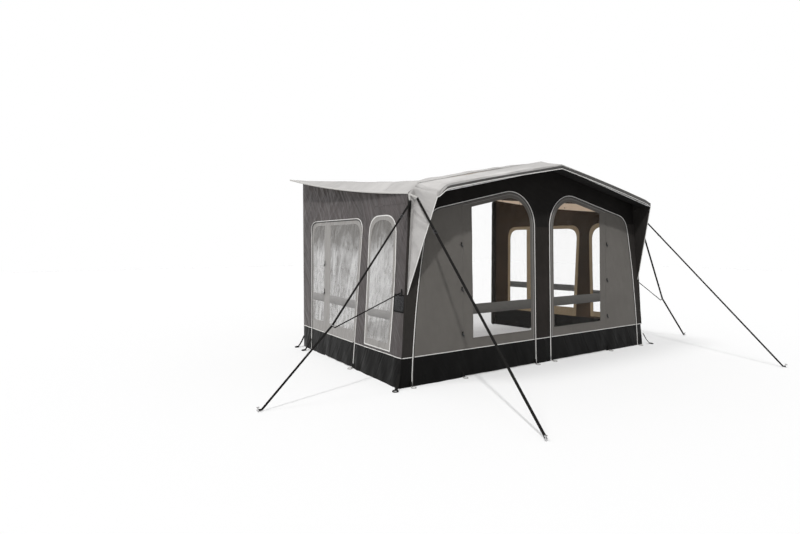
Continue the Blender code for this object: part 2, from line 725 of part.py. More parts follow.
def build_visor(mats):
    """Build the visor's skin, the two poles in its hem and their elbow."""
    mesh = bpy.data.meshes.new("front_visor")
    work = bmesh.new()
    bmesh.ops.create_grid(work, x_segments=4, y_segments=3, size=1.0)
    for vert in work.verts:
        column = round(vert.co.x * 2)
        row = round((vert.co.y + 1) / 2 * 3)
        across, depth, height = visor_section(abs(column))[row]
        vert.co = (math.copysign(across, column), FRONT_Y + depth, height)
    bmesh.ops.recalc_face_normals(work, faces=work.faces)
    foremost = min(work.faces, key=lambda face: face.calc_center_median().y)
    if foremost.normal.y > 0:
        bmesh.ops.reverse_faces(work, faces=work.faces)
    work.to_mesh(mesh)
    work.free()
    skin = add_object("front_visor", mesh, mats["roof"])
    solid = skin.modifiers.new("Thickness", "SOLIDIFY")
    solid.thickness = FABRIC
    solid.offset = -1.0
    solid.use_even_offset = True

    depth = FRONT_Y - VISOR_REACH + FABRIC + VISOR_ELBOW_RADIUS + VISOR_POLE_GAP
    lift = FABRIC + VISOR_ELBOW_RADIUS + VISOR_POLE_LIFT
    fall = (FASCIA_BOTTOM - VISOR_END_BOTTOM) / VISOR_HALF_WIDTH
    run = Vector((1.0, 0.0, -fall)).normalized()
    peak = Vector((0.0, depth, FASCIA_BOTTOM + lift))
    arm = run * VISOR_ELBOW_ARM
    mirrored = Vector((-arm.x, 0.0, arm.z))
    tube("visor_pole_elbow", [peak + mirrored, peak, peak + arm], VISOR_ELBOW_RADIUS,
         mats["plastic"], 4)
    forward = Vector((0.0, VISOR_POLE_RADIUS - VISOR_ELBOW_RADIUS, 0.0))
    length = VISOR_HALF_WIDTH / run.x - FABRIC
    for label, side in SIDES.items():
        line = Vector((side * run.x, 0.0, run.z))
        tube(f"visor_pole_{label}",
             [peak + forward + line * (VISOR_ELBOW_ARM + SEAM), peak + forward + line * length],
             VISOR_POLE_RADIUS, mats["steel"], 4)


def wing_corners(side):
    """Return a wing's tip, rear top and front top corners, and its outward normal.

    The corners lie in the middle of the wing's thickness, just clear of the front wall
    and the visor above.
    """
    _, _, fascia, lining = visor_section(2)
    tip = on_front(side * WING_TIP_X, WING_TIP_HEIGHT, 0.0)
    rear = on_front(side * lining[0], lining[2], 0.0)
    front = Vector((side * fascia[0], FRONT_Y + fascia[1], fascia[2]))
    normal = (rear - tip).cross(front - tip).normalized()
    normal = normal if normal.x * side > 0 else -normal
    ahead = SEAM + abs(normal.y) * FABRIC / 2
    below = SEAM + abs(normal.z) * FABRIC / 2
    clear = Vector((0.0, -ahead, 0.0))
    drop = Vector((0.0, 0.0, -below))
    return tip + clear, rear + clear + drop, front + drop, normal


def build_wing(label, side, mats):
    """Build the three-cornered wing between the visor's end and the front wall."""
    tip, rear, front, normal = wing_corners(side)
    upward = (rear - tip).normalized()
    forward = normal.cross(upward)

    def place(along, up, inward):
        return tip + forward * along + upward * up - normal * (inward - FABRIC / 2)

    loop = [(0.0, 0.0), ((front - tip).dot(forward), (front - tip).dot(upward)),
            (0.0, (rear - tip).length)]
    sheet(f"visor_wing_{label}", [loop], FABRIC, place, mats["roof"])


def beam_points(foot, top, run):
    """Return an air beam's centre line: up a leg, round a bend and along the roof."""
    leg = (foot - top).normalized()
    back = (run[0] - top).normalized()
    points = [foot, foot + Vector((0.0, 0.0, FOOT_STUB))]
    points.append(top + leg * (top - foot).length / 2)
    points += [Vector(point) for point in
               bezier(top + leg * BEAM_BEND, top, top + back * BEAM_BEND, BEND_STEPS)]
    return points + run


def beam_run(front_x, rear_x, side):
    """Return the points of a beam's run, one under each row of the roof past the bend."""
    points = []
    lift = FABRIC + BEAM_RADIUS / math.cos(math.atan(GABLE_FALL)) + BEAM_ROOF_GAP
    for row in range(1, ROOF_ROWS + 1):
        share = row / ROOF_ROWS
        half_width = front_x + (rear_x - front_x) * share
        depth = min(roof_depth(0, share), DEPTH - BEAM_REAR_GAP)
        height = roof_height(half_width, depth) - lift
        points.append(Vector((side * half_width, FRONT_Y + depth, height)))
    return points


def build_beam(label, side, mats):
    """Build one air beam with its valve, and the valve's cap."""
    seat = FABRIC + BEAM_RADIUS + SEAM + FRONT_LEAN * FOOT_STUB
    if side:
        inside = FABRIC + BEAM_RADIUS + BEAM_CORNER_GAP
        foot = on_front(side * (corner_x(0.0) - inside), 0.0, seat)
        run = beam_run(SIDE_BEAM_FRONT_X, SIDE_BEAM_REAR_X, side)
        top_up = SHOULDER_HEIGHT - FABRIC - BEAM_RADIUS * 2
        top = on_front(side * min(corner_x(top_up) - inside, SIDE_BEAM_FRONT_X), top_up, seat)
    else:
        foot = on_front(0.0, 0.0, seat)
        run = beam_run(0.0, 0.0, 1)
        top = on_front(0.0, RIDGE_HEIGHT - FABRIC - BEAM_RADIUS - BEAM_BEND / 4, seat)
    beam = mesh_from(tube(f"air_beam_{label}", beam_points(foot, top, run), BEAM_RADIUS,
                          mats["beam"], 4))
    share = VALVE_HEIGHT / (top.z - foot.z)
    at = foot + (top - foot) * share
    rearward = Matrix.Rotation(-math.pi / 2, 4, "X")
    length = BEAM_RADIUS + VALVE_LENGTH
    middle = at + Vector((0.0, length / 2, 0.0))
    half_side = Matrix.Rotation(math.pi / ROUND_SIDES, 4, "Z")
    rod = cutter_rod(f"valve_{label}", VALVE_RADIUS, length,
                     Matrix.Translation(middle) @ rearward @ half_side)
    combine(beam, rod, "UNION")
    profile = [(0.0, VALVE_CAP_LENGTH), (VALVE_CAP_RADIUS - VALVE_LUG, VALVE_CAP_LENGTH),
               (VALVE_CAP_RADIUS, VALVE_CAP_LENGTH - VALVE_LUG), (VALVE_CAP_RADIUS, 0.0), (0.0, 0.0)]
    cap = turned(f"valve_cap_{label}", profile, mats["plastic"])
    cap.matrix_world = Matrix.Translation(at + Vector((0.0, length + SEAM, 0.0))) @ rearward


def build_rear_pad(label, side, mats):
    """Build the foam pad that closes a side wall against what carries the rail."""
    place = on_side(side)
    loop = [(DEPTH - PAD_DEPTH, 0.0), (DEPTH, 0.0), (DEPTH, PAD_HEIGHT),
            (DEPTH - PAD_DEPTH, PAD_HEIGHT)]

    def behind(along, up, inward):
        return place(along, up, inward + FABRIC + SEAM)

    sheet(f"rear_pad_{label}", [loop], PAD_WIDTH, behind, mats["foam"], wall_cuts())


def build_pocket(label, side, mats):
    """Build the small pocket on the outside of a front corner."""
    place = on_side(side)

    def outside(along, up, inward):
        return place(along, up, inward - POCKET_DEPTH - POCKET_GAP)

    loop = [(POCKET_FRONT, POCKET_BOTTOM), (POCKET_REAR, POCKET_BOTTOM),
            (POCKET_REAR, POCKET_TOP), (POCKET_FRONT, POCKET_TOP)]
    sheet(f"corner_pocket_{label}", [loop], POCKET_DEPTH, outside, mats["webbing"])


def slider_loop(centre, up):
    """Return a zip slider's outline about a point."""
    half, rise = SLIDER_WIDTH / 2, SLIDER_HEIGHT / 2
    return [(centre - half, up - rise), (centre + half, up - rise),
            (centre + half * 0.6, up + rise), (centre - half * 0.6, up + rise)]


def build_sliders(label, side, mats):
    """Build the sliders of the front door's inner zip and the side door's front zip."""
    centre = side * (DOOR_INNER_X - SLIDER_WIDTH)
    outward = SLIDER_THICKNESS + SLIDER_GAP

    def before_front(along, up, inward):
        return on_front(along, up, inward - outward)

    slider = sheet(f"front_zip_slider_{label}", [slider_loop(centre, SLIDER_REST)],
                   SLIDER_THICKNESS, before_front, mats["steel"])
    set_pivot(slider, on_front(centre, SLIDER_REST, 0.0))
    place = on_side(side)

    def before_side(along, up, inward):
        return place(along, up, inward - outward)

    lean = SIDE_DOOR_FRONT_LEAN / SIDE_DOOR_TOP
    depth = SIDE_DOOR_FRONT_FOOT - lean * SLIDER_REST - SLIDER_WIDTH
    slider = sheet(f"side_zip_slider_{label}", [slider_loop(depth, SLIDER_REST)],
                   SLIDER_THICKNESS, before_side, mats["steel"])
    set_pivot(slider, place(depth, SLIDER_REST, 0.0))


def place_at(side, half_width, depth, height):
    """Return a point of the awning from its half width, depth and height."""
    return Vector((side * half_width, FRONT_Y + depth, height))


def peg_end(side, peg):
    """Return the last two points of a guy, where it meets its peg near the ground."""
    stake = place_at(side, *peg)
    inward = Vector((-stake.x, FRONT_Y - stake.y, 0.0)).normalized()
    rise = Vector((0.0, 0.0, GUY_RADIUS + GUY_STUB / 5))
    end = stake + inward * (PEG_RADIUS + CORD_GAP) + rise
    return [end + inward * GUY_STUB, end]


def build_peg(name, side, peg, mats):
    """Build the part of a peg that stands out of the ground, with its head."""
    neck = PEG_HEIGHT - PEG_HEAD_HEIGHT
    profile = [(0.0, PEG_HEIGHT), (PEG_HEAD_RADIUS, PEG_HEIGHT), (PEG_HEAD_RADIUS, neck),
               (PEG_RADIUS, neck), (PEG_RADIUS, 0.0), (0.0, 0.0)]
    stake = turned(name, profile, mats["steel"])
    stake.location = place_at(side, *peg)


def build_tensioner(name, start, end, share, mats):
    """Build the sliding tensioner that sits round a guy."""
    along = (end - start).normalized()
    turn = along.to_track_quat("Z", "Y").to_matrix().to_4x4()
    matrix = Matrix.Translation(start + (end - start) * share) @ turn
    size = (TENSIONER_WIDTH, TENSIONER_THICKNESS, TENSIONER_LENGTH)
    body = block(name, size, (0.0, 0.0, 0.0), mats["plastic"])
    body.matrix_world = matrix
    bore = (GUY_RADIUS + CORD_GAP) / math.cos(math.pi / ROUND_SIDES)
    combine(body, cutter_rod(f"{name}_bore", bore, TENSIONER_LENGTH * 2, matrix), "DIFFERENCE")


def smooth_start(anchor, outward, target):
    """Return the points by which a cord leaves its anchor and turns to its target."""
    first = anchor + outward * GUY_STUB / 2
    knee = anchor + outward * GUY_STUB
    away = (target - knee).normalized()
    return [anchor] + [Vector(point) for point in
                       bezier(first, knee, knee + away * GUY_STUB, CORNER_STEPS)]


def build_guys(label, side, mats):
    """Build the front guy, the side guy and its link, with their fittings."""
    tip, rear, front, normal = wing_corners(side)
    across = rear + (front - rear) * WING_ANCHOR_SHARE
    drop = (across - tip) * (GUY_STUB * 2 / (across - tip).length)
    anchor = across - drop + normal * (FABRIC / 2 + CORD_GAP)
    ends = peg_end(side, FRONT_PEGS[side])
    points = smooth_start(anchor, normal, ends[0]) + ends
    tube(f"front_guy_{label}", points, GUY_RADIUS, mats["webbing"], 2)
    build_peg(f"front_peg_{label}", side, FRONT_PEGS[side], mats)
    build_tensioner(f"front_tensioner_{label}", points[-3], points[-2],
                    FRONT_TENSIONER_SHARE, mats)

    outward = Vector((0.0, -1.0, FRONT_LEAN)).normalized()
    across = FRONT_HALF_WIDTH - CORNER_LEAN * GUY_ANCHOR_HEIGHT - GUY_ANCHOR_INSET
    anchor = place_at(side, across, FRONT_LEAN * GUY_ANCHOR_HEIGHT, GUY_ANCHOR_HEIGHT)
    anchor += outward * CORD_GAP * 2
    joint = place_at(side, *LINK_JOINTS[side])
    ends = peg_end(side, SIDE_PEGS[side])
    points = smooth_start(anchor, outward, joint) + [joint] + ends
    tube(f"side_guy_{label}", points, GUY_RADIUS, mats["webbing"], 2)
    build_peg(f"side_peg_{label}", side, SIDE_PEGS[side], mats)
    build_tensioner(f"side_tensioner_{label}", points[-4], joint, SIDE_TENSIONER_SHARE, mats)

    guy_run = (ends[0] - points[-4]).normalized()
    place = on_side(side)
    outward = wall_normal(side, LINK_ANCHOR_DEPTH, LINK_ANCHOR_HEIGHT)
    anchor = place(LINK_ANCHOR_DEPTH, LINK_ANCHOR_HEIGHT, 0.0) + outward * CORD_GAP * 2
    back = anchor - joint
    back = (back - guy_run * back.dot(guy_run)).normalized()
    link_end = joint + back * (GUY_RADIUS + CORD_GAP)
    near_end = link_end + back * GUY_STUB
    points = smooth_start(anchor, outward, near_end) + [near_end, link_end]
    tube(f"guy_link_{label}", points, LINK_RADIUS, mats["webbing"], 2)


def main():
    """Build every piece of the awning."""
    start_scene()
    mats = make_materials()
    build_front_wall(mats)
    build_roof(mats)
    build_visor(mats)
    build_beam("centre", 0, mats)
    for label, side in SIDES.items():
        build_front_door(label, side, mats)
        build_side_wall(label, side, mats)
        build_side_door(label, side, mats)
        build_skirts(label, side, mats)
        build_wing(label, side, mats)
        build_beam(label, side, mats)
        build_rear_pad(label, side, mats)
        build_pocket(label, side, mats)
        build_sliders(label, side, mats)
        build_guys(label, side, mats)
    for obj in bpy.data.collections[PARTS].objects:
        if obj.type == "MESH" and obj.name.startswith(("valve_cap", "front_peg", "side_peg")):
            obj.data.shade_smooth()


main()
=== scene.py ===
"""An air-beam awning with a gabled front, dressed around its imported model.

Metres, +Z up. +X points to the right-hand wall seen from outside the front, and +Y to
the rail side. Depths are counted from the foot of the front wall, heights from the
ground. Every sheet is cut flat, laid on its wall and then rippled with it.
"""
import logging
import math
from dataclasses import dataclass, field
from enum import Enum
from typing import Callable, Iterable, Optional, Sequence

import bmesh
import bpy
from mathutils import Matrix, Vector, noise

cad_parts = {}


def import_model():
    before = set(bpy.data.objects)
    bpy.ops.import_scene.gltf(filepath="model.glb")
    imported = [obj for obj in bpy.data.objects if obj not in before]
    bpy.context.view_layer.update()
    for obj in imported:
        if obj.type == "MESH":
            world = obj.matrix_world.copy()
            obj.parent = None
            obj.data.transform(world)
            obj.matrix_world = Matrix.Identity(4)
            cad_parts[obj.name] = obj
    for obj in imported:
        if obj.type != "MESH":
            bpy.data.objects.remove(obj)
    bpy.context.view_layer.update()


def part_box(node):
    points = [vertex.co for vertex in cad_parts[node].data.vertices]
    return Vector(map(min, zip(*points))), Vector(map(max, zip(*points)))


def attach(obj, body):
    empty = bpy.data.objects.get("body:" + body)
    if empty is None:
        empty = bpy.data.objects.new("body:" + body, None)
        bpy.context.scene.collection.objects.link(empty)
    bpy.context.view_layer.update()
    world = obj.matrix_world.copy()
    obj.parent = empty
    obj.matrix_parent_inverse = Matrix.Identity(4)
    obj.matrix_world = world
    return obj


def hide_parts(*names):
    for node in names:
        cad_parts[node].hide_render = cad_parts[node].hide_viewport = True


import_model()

LOG = logging.getLogger("awning")

Point = tuple[float, float]
Loop = list[Point]
Place = Callable[[float, float, float], Vector]
Colour = tuple[float, float, float]

CLOTH_UV = "cloth"
TINY = 1e-5
MILLIMETRE = 0.001


class Side(Enum):
    """The two sides of the awning, by the sign of X."""

    LEFT = -1
    RIGHT = 1

    @property
    def label(self) -> str:
        """The word that the side's pieces end with."""
        return self.name.lower()


class Slot(Enum):
    """The record's material slots."""

    ROOF = "roof"
    WALL = "wall"
    DOOR = "door"
    GABLE = "gable"
    SKIRT = "skirt"
    PANE = "pane"
    BEAM = "beam"
    FOAM = "foam"
    PLASTIC = "plastic"
    WEBBING = "webbing"
    STEEL = "steel"


# ---- Sizes and surfaces ----


@dataclass(frozen=True)
class AwningPlan:
    """The sizes that the sheets are cut to, the same as the solids have."""

    depth: float = 2.875
    front_half: float = 2.300
    rear_half: float = 1.990
    roof_rear_half: float = 2.200
    shoulder_half: float = 2.000
    ridge: float = 2.590
    rail: float = 2.465
    shoulder: float = 2.190
    eave: float = 2.075
    corner_inset: float = 0.158
    setback: float = 0.057
    roof_sag: float = 0.045
    eave_sag: float = 0.050
    skirt: float = 0.316
    solid_sheet: float = 0.006
    wall_top_gap: float = 0.004
    sweep_gap: float = 0.012
    visor_reach: float = 0.260
    fascia_top: float = 2.539
    fascia_bottom: float = 2.464
    visor_half: float = 1.996
    visor_wall_half: float = 2.045
    visor_end_top: float = 2.110
    visor_end_bottom: float = 2.048
    lining_drop: float = 0.065
    wing_tip_x: float = 2.172
    wing_tip_height: float = 0.992
    corner_bow: float = 0.036
    bow_reach: float = 1.050

    @property
    def front_y(self) -> float:
        """The place of the front wall's foot along Y."""
        return (self.visor_reach - self.depth) / 2

    @property
    def lean(self) -> float:
        """How far the front wall leans back over each metre of height."""
        return self.setback / self.eave

    @property
    def corner_lean(self) -> float:
        """How far the front corner leans in over each metre of height."""
        return self.corner_inset / self.eave

    def wall_x(self, depth: float, height: float) -> float:
        """Return the half width of the side wall's outer face.

        Args:
            depth: How far behind the front wall's foot the point lies.
            height: How high above the ground it lies.

        Returns:
            The distance from the middle of the awning.
        """
        forward = 1 - depth / self.depth
        straight = self.rear_half + (self.front_half - self.rear_half) * forward
        return straight - self.corner_lean * height * forward - self.bow(depth, height)

    def bow(self, depth: float, height: float) -> float:
        """Return how far the pull of the cloth draws a corner in from its straight line."""
        rise = math.sin(math.pi * max(0.0, min(1.0, height / self.eave)))
        return self.corner_bow * rise * (1 - ease(0.0, self.bow_reach, depth))

    def corner_x(self, height: float) -> float:
        """Return the half width of the front wall at its corner."""
        return self.wall_x(self.lean * height, height)

    def gable_height(self, across: float) -> float:
        """Return the height of the front wall's top edge over a half width."""
        if across <= self.shoulder_half:
            return self.ridge - (self.ridge - self.shoulder) * across / self.shoulder_half
        share = (across - self.shoulder_half) / (self.corner_x(self.eave) - self.shoulder_half)
        return self.shoulder - (self.shoulder - self.eave) * share

    def roof_line(self, column: float, share: float) -> tuple[float, float, float]:
        """Return one point of the roof.

        Args:
            column: 0 in the middle, 1 at the shoulder and 2 at the eave's edge.
            share: 0 at the front crest and 1 at the rail.

        Returns:
            The half width, depth and height of the point.
        """
        dip = 4 * share * (1 - share)
        ridge = self.ridge + (self.rail - self.ridge) * share
        shoulder = self.shoulder + (self.rail - self.shoulder) * share
        part = min(column, 1.0)
        across = self.shoulder_half * part
        hang = self.roof_sag * dip * math.sin(math.pi * part)
        height = ridge + (shoulder - ridge) * part - hang
        front_height = self.ridge + (self.shoulder - self.ridge) * part
        if column > 1.0:
            out = column - 1.0
            top = self.eave + self.solid_sheet
            edge = top + (self.rail - top) * share - self.eave_sag * dip
            corner = self.corner_x(self.eave)
            edge_x = corner + (self.roof_rear_half - corner) * share
            across += (edge_x - across) * out
            height += (edge - height) * out
            front_height += (top - front_height) * out
        front = self.lean * front_height
        back = self.depth - 0.0073
        return across, front + (back - front) * share, height

    def roof_height(self, across: float, depth: float) -> float:
        """Return the roof's height over a point of the plan."""
        share = max(0.0, min(1.0, (depth - self.setback) / (self.depth - self.setback)))
        if across <= self.shoulder_half:
            return self.roof_line(across / self.shoulder_half, share)[2]
        edge_x = self.roof_line(2.0, share)[0]
        out = (across - self.shoulder_half) / max(edge_x - self.shoulder_half, TINY)
        return self.roof_line(1.0 + min(out, 1.0), share)[2]

    def wall_top(self, depth: float) -> float:
        """Return the height of a side wall's top edge under the roof."""
        height = self.eave
        for _ in range(6):
            height = self.roof_height(self.wall_x(depth, height), depth)
            height -= self.solid_sheet + self.wall_top_gap
        return height

    def visor_section(self, column: float) -> list[Vector]:
        """Return the visor's outer line at one column.

        Args:
            column: 0 in the middle, 1 at the roof's shoulder and 2 at the visor's end.

        Returns:
            The crest, the top and bottom of the fascia, and the lining's rear edge, each
            as (half width, depth, height).
        """
        part = min(column, 1.0)
        out = max(column - 1.0, 0.0)
        across = self.shoulder_half * part
        across += (self.visor_wall_half - self.shoulder_half) * out
        crest = self.gable_height(across)
        lining = crest - self.lining_drop
        hem = across * self.visor_half / self.visor_wall_half
        share = hem / self.visor_half
        top = self.fascia_top + (self.visor_end_top - self.fascia_top) * share
        bottom = self.fascia_bottom + (self.visor_end_bottom - self.fascia_bottom) * share
        return [Vector((across, self.lean * crest - 0.002, crest)),
                Vector((hem, -self.visor_reach, top)),
                Vector((hem, -self.visor_reach, bottom)),
                Vector((across, self.lean * lining - 0.0003, lining))]


PLAN = AwningPlan()


def ease(low: float, high: float, value: float) -> float:
    """Return 0 below low, 1 above high and a smooth ramp between them."""
    share = max(0.0, min(1.0, (value - low) / (high - low)))
    return share * share * (3 - 2 * share)


def bump_at(value: float, centre: float, width: float) -> float:
    """Return a soft hump that is 1 at the centre and fades within the width."""
    return math.exp(-((value - centre) / width) ** 2)


def streaks(along: float, up: float, angle: float, length: float, width: float,
            seed: float) -> float:
    """Return noise drawn out into streaks.

    Args:
        along: Place along the wall.
        up: Height on the wall.
        angle: Direction of the streaks, in degrees from the wall's length.
        length: How long a streak is.
        width: How wide a streak is.
        seed: Which of many such patterns this is.

    Returns:
        A value of about -0.7 to 0.7.
    """
    turn = math.radians(angle)
    run = along * math.cos(turn) + up * math.sin(turn)
    cross = up * math.cos(turn) - along * math.sin(turn)
    return noise.noise(Vector((run / length, cross / width, seed)))


@dataclass(frozen=True)
class FrontFace:
    """The front wall's outer face, with the ripples of its cloth."""

    zip_x: float = 0.145
    fold_x: float = 1.360
    skirt_swell: float = 0.008
    ripple: float = 0.0045

    def lift(self, along: float, up: float) -> float:
        """Return how far the cloth stands out of its plane."""
        across = abs(along)
        value = self.ripple * (0.4 + streaks(along, up, 82, 0.9, 0.20, 3.1))
        value += self.ripple * 0.8 * streaks(along, up, 62 if along < 0 else -62, 0.6, 0.12, 8.4)
        low = 1 - ease(0.0, PLAN.skirt, up)
        value += self.skirt_swell * low * (0.6 + streaks(along, up, 90, 0.5, 0.13, 5.7))
        fade = ease(0.0, 0.10, PLAN.corner_x(up) - across)
        fade *= ease(0.0, 0.16, PLAN.gable_height(across) - up)
        fade *= 0.12 + 0.88 * ease(0.02, 0.16, abs(across - self.zip_x))
        fade *= 0.04 + 0.96 * ease(0.01, 0.13, abs(across - self.fold_x))
        return max(0.0, value) * fade

    def __call__(self, along: float, up: float, inward: float) -> Vector:
        """Lay a point on the front wall, counted inward from the cloth's face."""
        depth = PLAN.lean * up + inward - self.lift(along, up)
        return Vector((along, PLAN.front_y + depth, up))


@dataclass(frozen=True)
class SideFace:
    """One side wall's outer face, with the ripples of its cloth."""

    side: Side
    ripple: float = 0.0050
    skirt_swell: float = 0.009
    beam_swell: float = 0.008

    def lift(self, along: float, up: float) -> float:
        """Return how far the cloth stands out of its plane."""
        seed = 2.0 + self.side.value
        top = PLAN.wall_top(along)
        value = self.ripple * (0.4 + streaks(along, up, 84, 0.8, 0.17, seed))
        slack = ease(1.5, 1.95, up) * ease(0.7, 1.6, along)
        value += self.ripple * 6.0 * slack * streaks(along, up, 128, 0.50, 0.10, seed + 4.0)
        value += self.ripple * 3.0 * slack * streaks(along, up, 52, 0.40, 0.09, seed + 6.0)
        value += self.beam_swell * bump_at(along, 0.12, 0.055) * (0.35 + 0.65 * ease(1.6, 0.7, up))
        low = 1 - ease(0.0, PLAN.skirt, up)
        value += self.skirt_swell * low * (0.6 + streaks(along, up, 90, 0.5, 0.14, seed + 9.0))
        fade = ease(0.0, 0.07, along - PLAN.lean * up) * ease(0.0, 0.10, PLAN.depth - along)
        fade *= ease(0.0, 0.12, top - up)
        fade *= 0.12 + 0.88 * ease(0.02, 0.14, abs(along - SIDE_DOOR.front_at(up)))
        fade *= 0.04 + 0.96 * ease(0.01, 0.13, abs(along - SIDE_DOOR.fold))
        return max(0.0, value) * fade

    def __call__(self, along: float, up: float, inward: float) -> Vector:
        """Lay a point on the side wall, counted inward from the cloth's face."""
        across = PLAN.wall_x(along, up) - inward + self.lift(along, up)
        return Vector((self.side.value * across, PLAN.front_y + along, up))


@dataclass(frozen=True)
class CornerFace:
    """A strip that turns from the front wall to a side wall at its corner.

    Its places along are counted from the corner, below zero in front.
    """

    side: Side
    bend: float = 0.020

    def __call__(self, along: float, up: float, inward: float) -> Vector:
        """Lay a point on the strip, counted inward from the cloth's face."""
        corner = PLAN.corner_x(up)
        start = PLAN.lean * up
        if along <= -self.bend:
            return FRONT(self.side.value * (corner + along), up, inward)
        if along >= self.bend:
            return SIDE_FACES[self.side](start + along, up, inward)
        before = FRONT(self.side.value * (corner - self.bend), up, inward)
        after = SIDE_FACES[self.side](start + self.bend, up, inward)
        knee = Vector((self.side.value * (corner - inward), PLAN.front_y + start + inward, up))
        share = (along + self.bend) / (2 * self.bend)
        return before * (1 - share) ** 2 + knee * 2 * share * (1 - share) + after * share ** 2


# ---- Outlines ----


def bezier(start: Sequence[float], middle: Sequence[float], end: Sequence[float],
           steps: int) -> list[tuple[float, ...]]:
    """Return points of a quadratic curve, both ends included."""
    points = []
    for index in range(steps + 1):
        t = index / steps
        points.append(tuple((1 - t) ** 2 * a + 2 * t * (1 - t) * b + t ** 2 * c
                            for a, b, c in zip(start, middle, end)))
    return points


@dataclass(frozen=True)
class FrontDoorOutline:
    """The outline of a front door, drawn at any distance inside its zip line."""

    inner: float = 0.152
    radius: float = 0.420
    arch_height: float = 1.746
    top_fall: float = 0.215
    outer_foot: float = 2.130
    outer_lean: float = 0.100
    outer_bow: float = 0.204
    top_height: float = 2.000
    corner: float = 0.170
    fold: float = 1.360
    border: float = 0.072
    window_outer: float = 1.225
    sill: float = 0.440
    arc_steps: int = 28
    corner_steps: int = 10

    def top(self, along: float, inset: float = 0.0) -> float:
        """Return the height of the sloping top edge."""
        tilt = math.atan(self.top_fall)
        radius = self.radius - inset
        start_x = self.inner + self.radius + radius * math.sin(tilt)
        start_z = self.arch_height + radius * math.cos(tilt)
        return start_z - self.top_fall * (along - start_x)

    def outer(self, up: float, inset: float = 0.0) -> float:
        """Return how far out the outer edge stands at a height."""
        share = up / self.top_height
        return self.outer_foot - self.outer_lean * share - self.outer_bow * share ** 2 - inset

    def arch(self, bottom: float, inset: float = 0.0) -> Loop:
        """Return the inner edge and the arch, from the bottom up to the sloping edge."""
        tilt = math.atan(self.top_fall)
        radius = self.radius - inset
        points = [(self.inner + inset, bottom)]
        for index in range(self.arc_steps + 1):
            angle = math.pi - (math.pi / 2 + tilt) * index / self.arc_steps
            points.append((self.inner + self.radius + radius * math.cos(angle),
                           self.arch_height + radius * math.sin(angle)))
        return points

    def shoulder(self, bottom: float, inset: float = 0.0) -> Loop:
        """Return the outer corner and edge, from the sloping edge down to the bottom."""
        up = self.top_height
        for _ in range(8):
            up = self.top(self.outer(up, inset), inset)
        corner_x = self.outer(up, inset)
        start = (corner_x - self.corner, self.top(corner_x - self.corner, inset))
        end = (self.outer(up - self.corner, inset), up - self.corner)
        points = bezier(start, (corner_x, up), end, self.corner_steps)
        steps = 12
        for index in range(1, steps + 1):
            height = end[1] + (bottom - end[1]) * index / steps
            points.append((self.outer(height, inset), height))
        return points

    def window(self, inset: float = 0.0) -> Loop:
        """Return the outline of the door's window."""
        outer = self.window_outer - inset
        sill = self.sill + inset
        drawn = self.border + inset
        return self.arch(sill, drawn) + [(outer, self.top(outer, drawn)), (outer, sill)]


@dataclass(frozen=True)
class SideDoorOutline:
    """The outline of a side door, its windows and the narrow window before it."""

    front_foot: float = 1.150
    front_top: float = 1.025
    rear: float = 2.540
    fold: float = 2.060
    top: float = 1.835
    corner: float = 0.180
    border: float = 0.055
    strip: float = 0.140
    sill: float = 0.460
    narrow_front: float = 0.270
    narrow_rear: float = 0.862
    narrow_top: float = 1.860
    narrow_bottom: float = 0.345
    narrow_corner: float = 0.220
    steps: int = 10

    def front_at(self, up: float) -> float:
        """Return the depth of the leaning front zip at a height."""
        return self.front_foot + (self.front_top - self.front_foot) * up / self.top

    def rounded(self, front_top: float, front_foot: float, rear: float, bottom: float,
                top: float, corner: float) -> Loop:
        """Return an outline with a level top, two round corners and a leaning front."""
        def front_at(height: float) -> float:
            return front_foot + (front_top - front_foot) * height / top

        points = [(rear, bottom)]
        points += bezier((rear, top - corner), (rear, top), (rear - corner, top), self.steps)
        points += bezier((front_top + corner, top), (front_top, top),
                         (front_at(top - corner), top - corner), self.steps)
        return points + [(front_at(bottom), bottom)]

    def door(self, inset: float, bottom: float) -> Loop:
        """Return the whole door's outline, a given distance inside its zip."""
        return self.rounded(self.front_top + inset, self.front_foot + inset, self.rear - inset,
                            bottom, self.top - inset, self.corner)

    def narrow(self, inset: float, bottom: Optional[float] = None) -> Loop:
        """Return the narrow window's outline."""
        front = self.narrow_front + inset
        low = self.narrow_bottom + inset if bottom is None else bottom
        return self.rounded(front, front, self.narrow_rear - inset, low,
                            self.narrow_top - inset, self.narrow_corner)

    def window(self, front: float, rear: float, inset: float) -> Loop:
        """Return the outline of the door's window between two depths."""
        whole = self.door(self.border + inset, self.sill + inset)
        return clipped(clipped(whole, 0, rear - inset, True), 0, front + inset, False)


def clipped(loop: Loop, axis: int, limit: float, keep_low: bool) -> Loop:
    """Return a loop cut straight across at a limit along one of its axes."""
    def inside(point: Point) -> bool:
        return point[axis] <= limit if keep_low else point[axis] >= limit

    points = []
    for first, second in zip(loop, loop[1:] + loop[:1]):
        if inside(first):
            points.append(first)
        if inside(first) != inside(second):
            t = (limit - first[axis]) / (second[axis] - first[axis])
            points.append(tuple(a + (b - a) * t for a, b in zip(first, second)))
    return points


def on_side_of(side: Side, loop: Iterable[Point]) -> Loop:
    """Return front-wall points on the left or right of the middle."""
    return [(side.value * along, up) for along, up in loop]


def loop_area(loop: Loop) -> float:
    """Return the area inside a flat outline."""
    total = sum(x1 * y2 - x2 * y1 for (x1, y1), (x2, y2) in zip(loop, loop[1:] + loop[:1]))
    return abs(total) / 2


def sampled(line: Loop, step: float) -> Loop:
    """Return a line with more points, none further apart than a step."""
    points = [line[0]]
    for first, second in zip(line, line[1:]):
        count = max(1, math.ceil(math.dist(first, second) / step))
        for index in range(1, count + 1):
            t = index / count
            points.append(tuple(a + (b - a) * t for a, b in zip(first, second)))
    return points


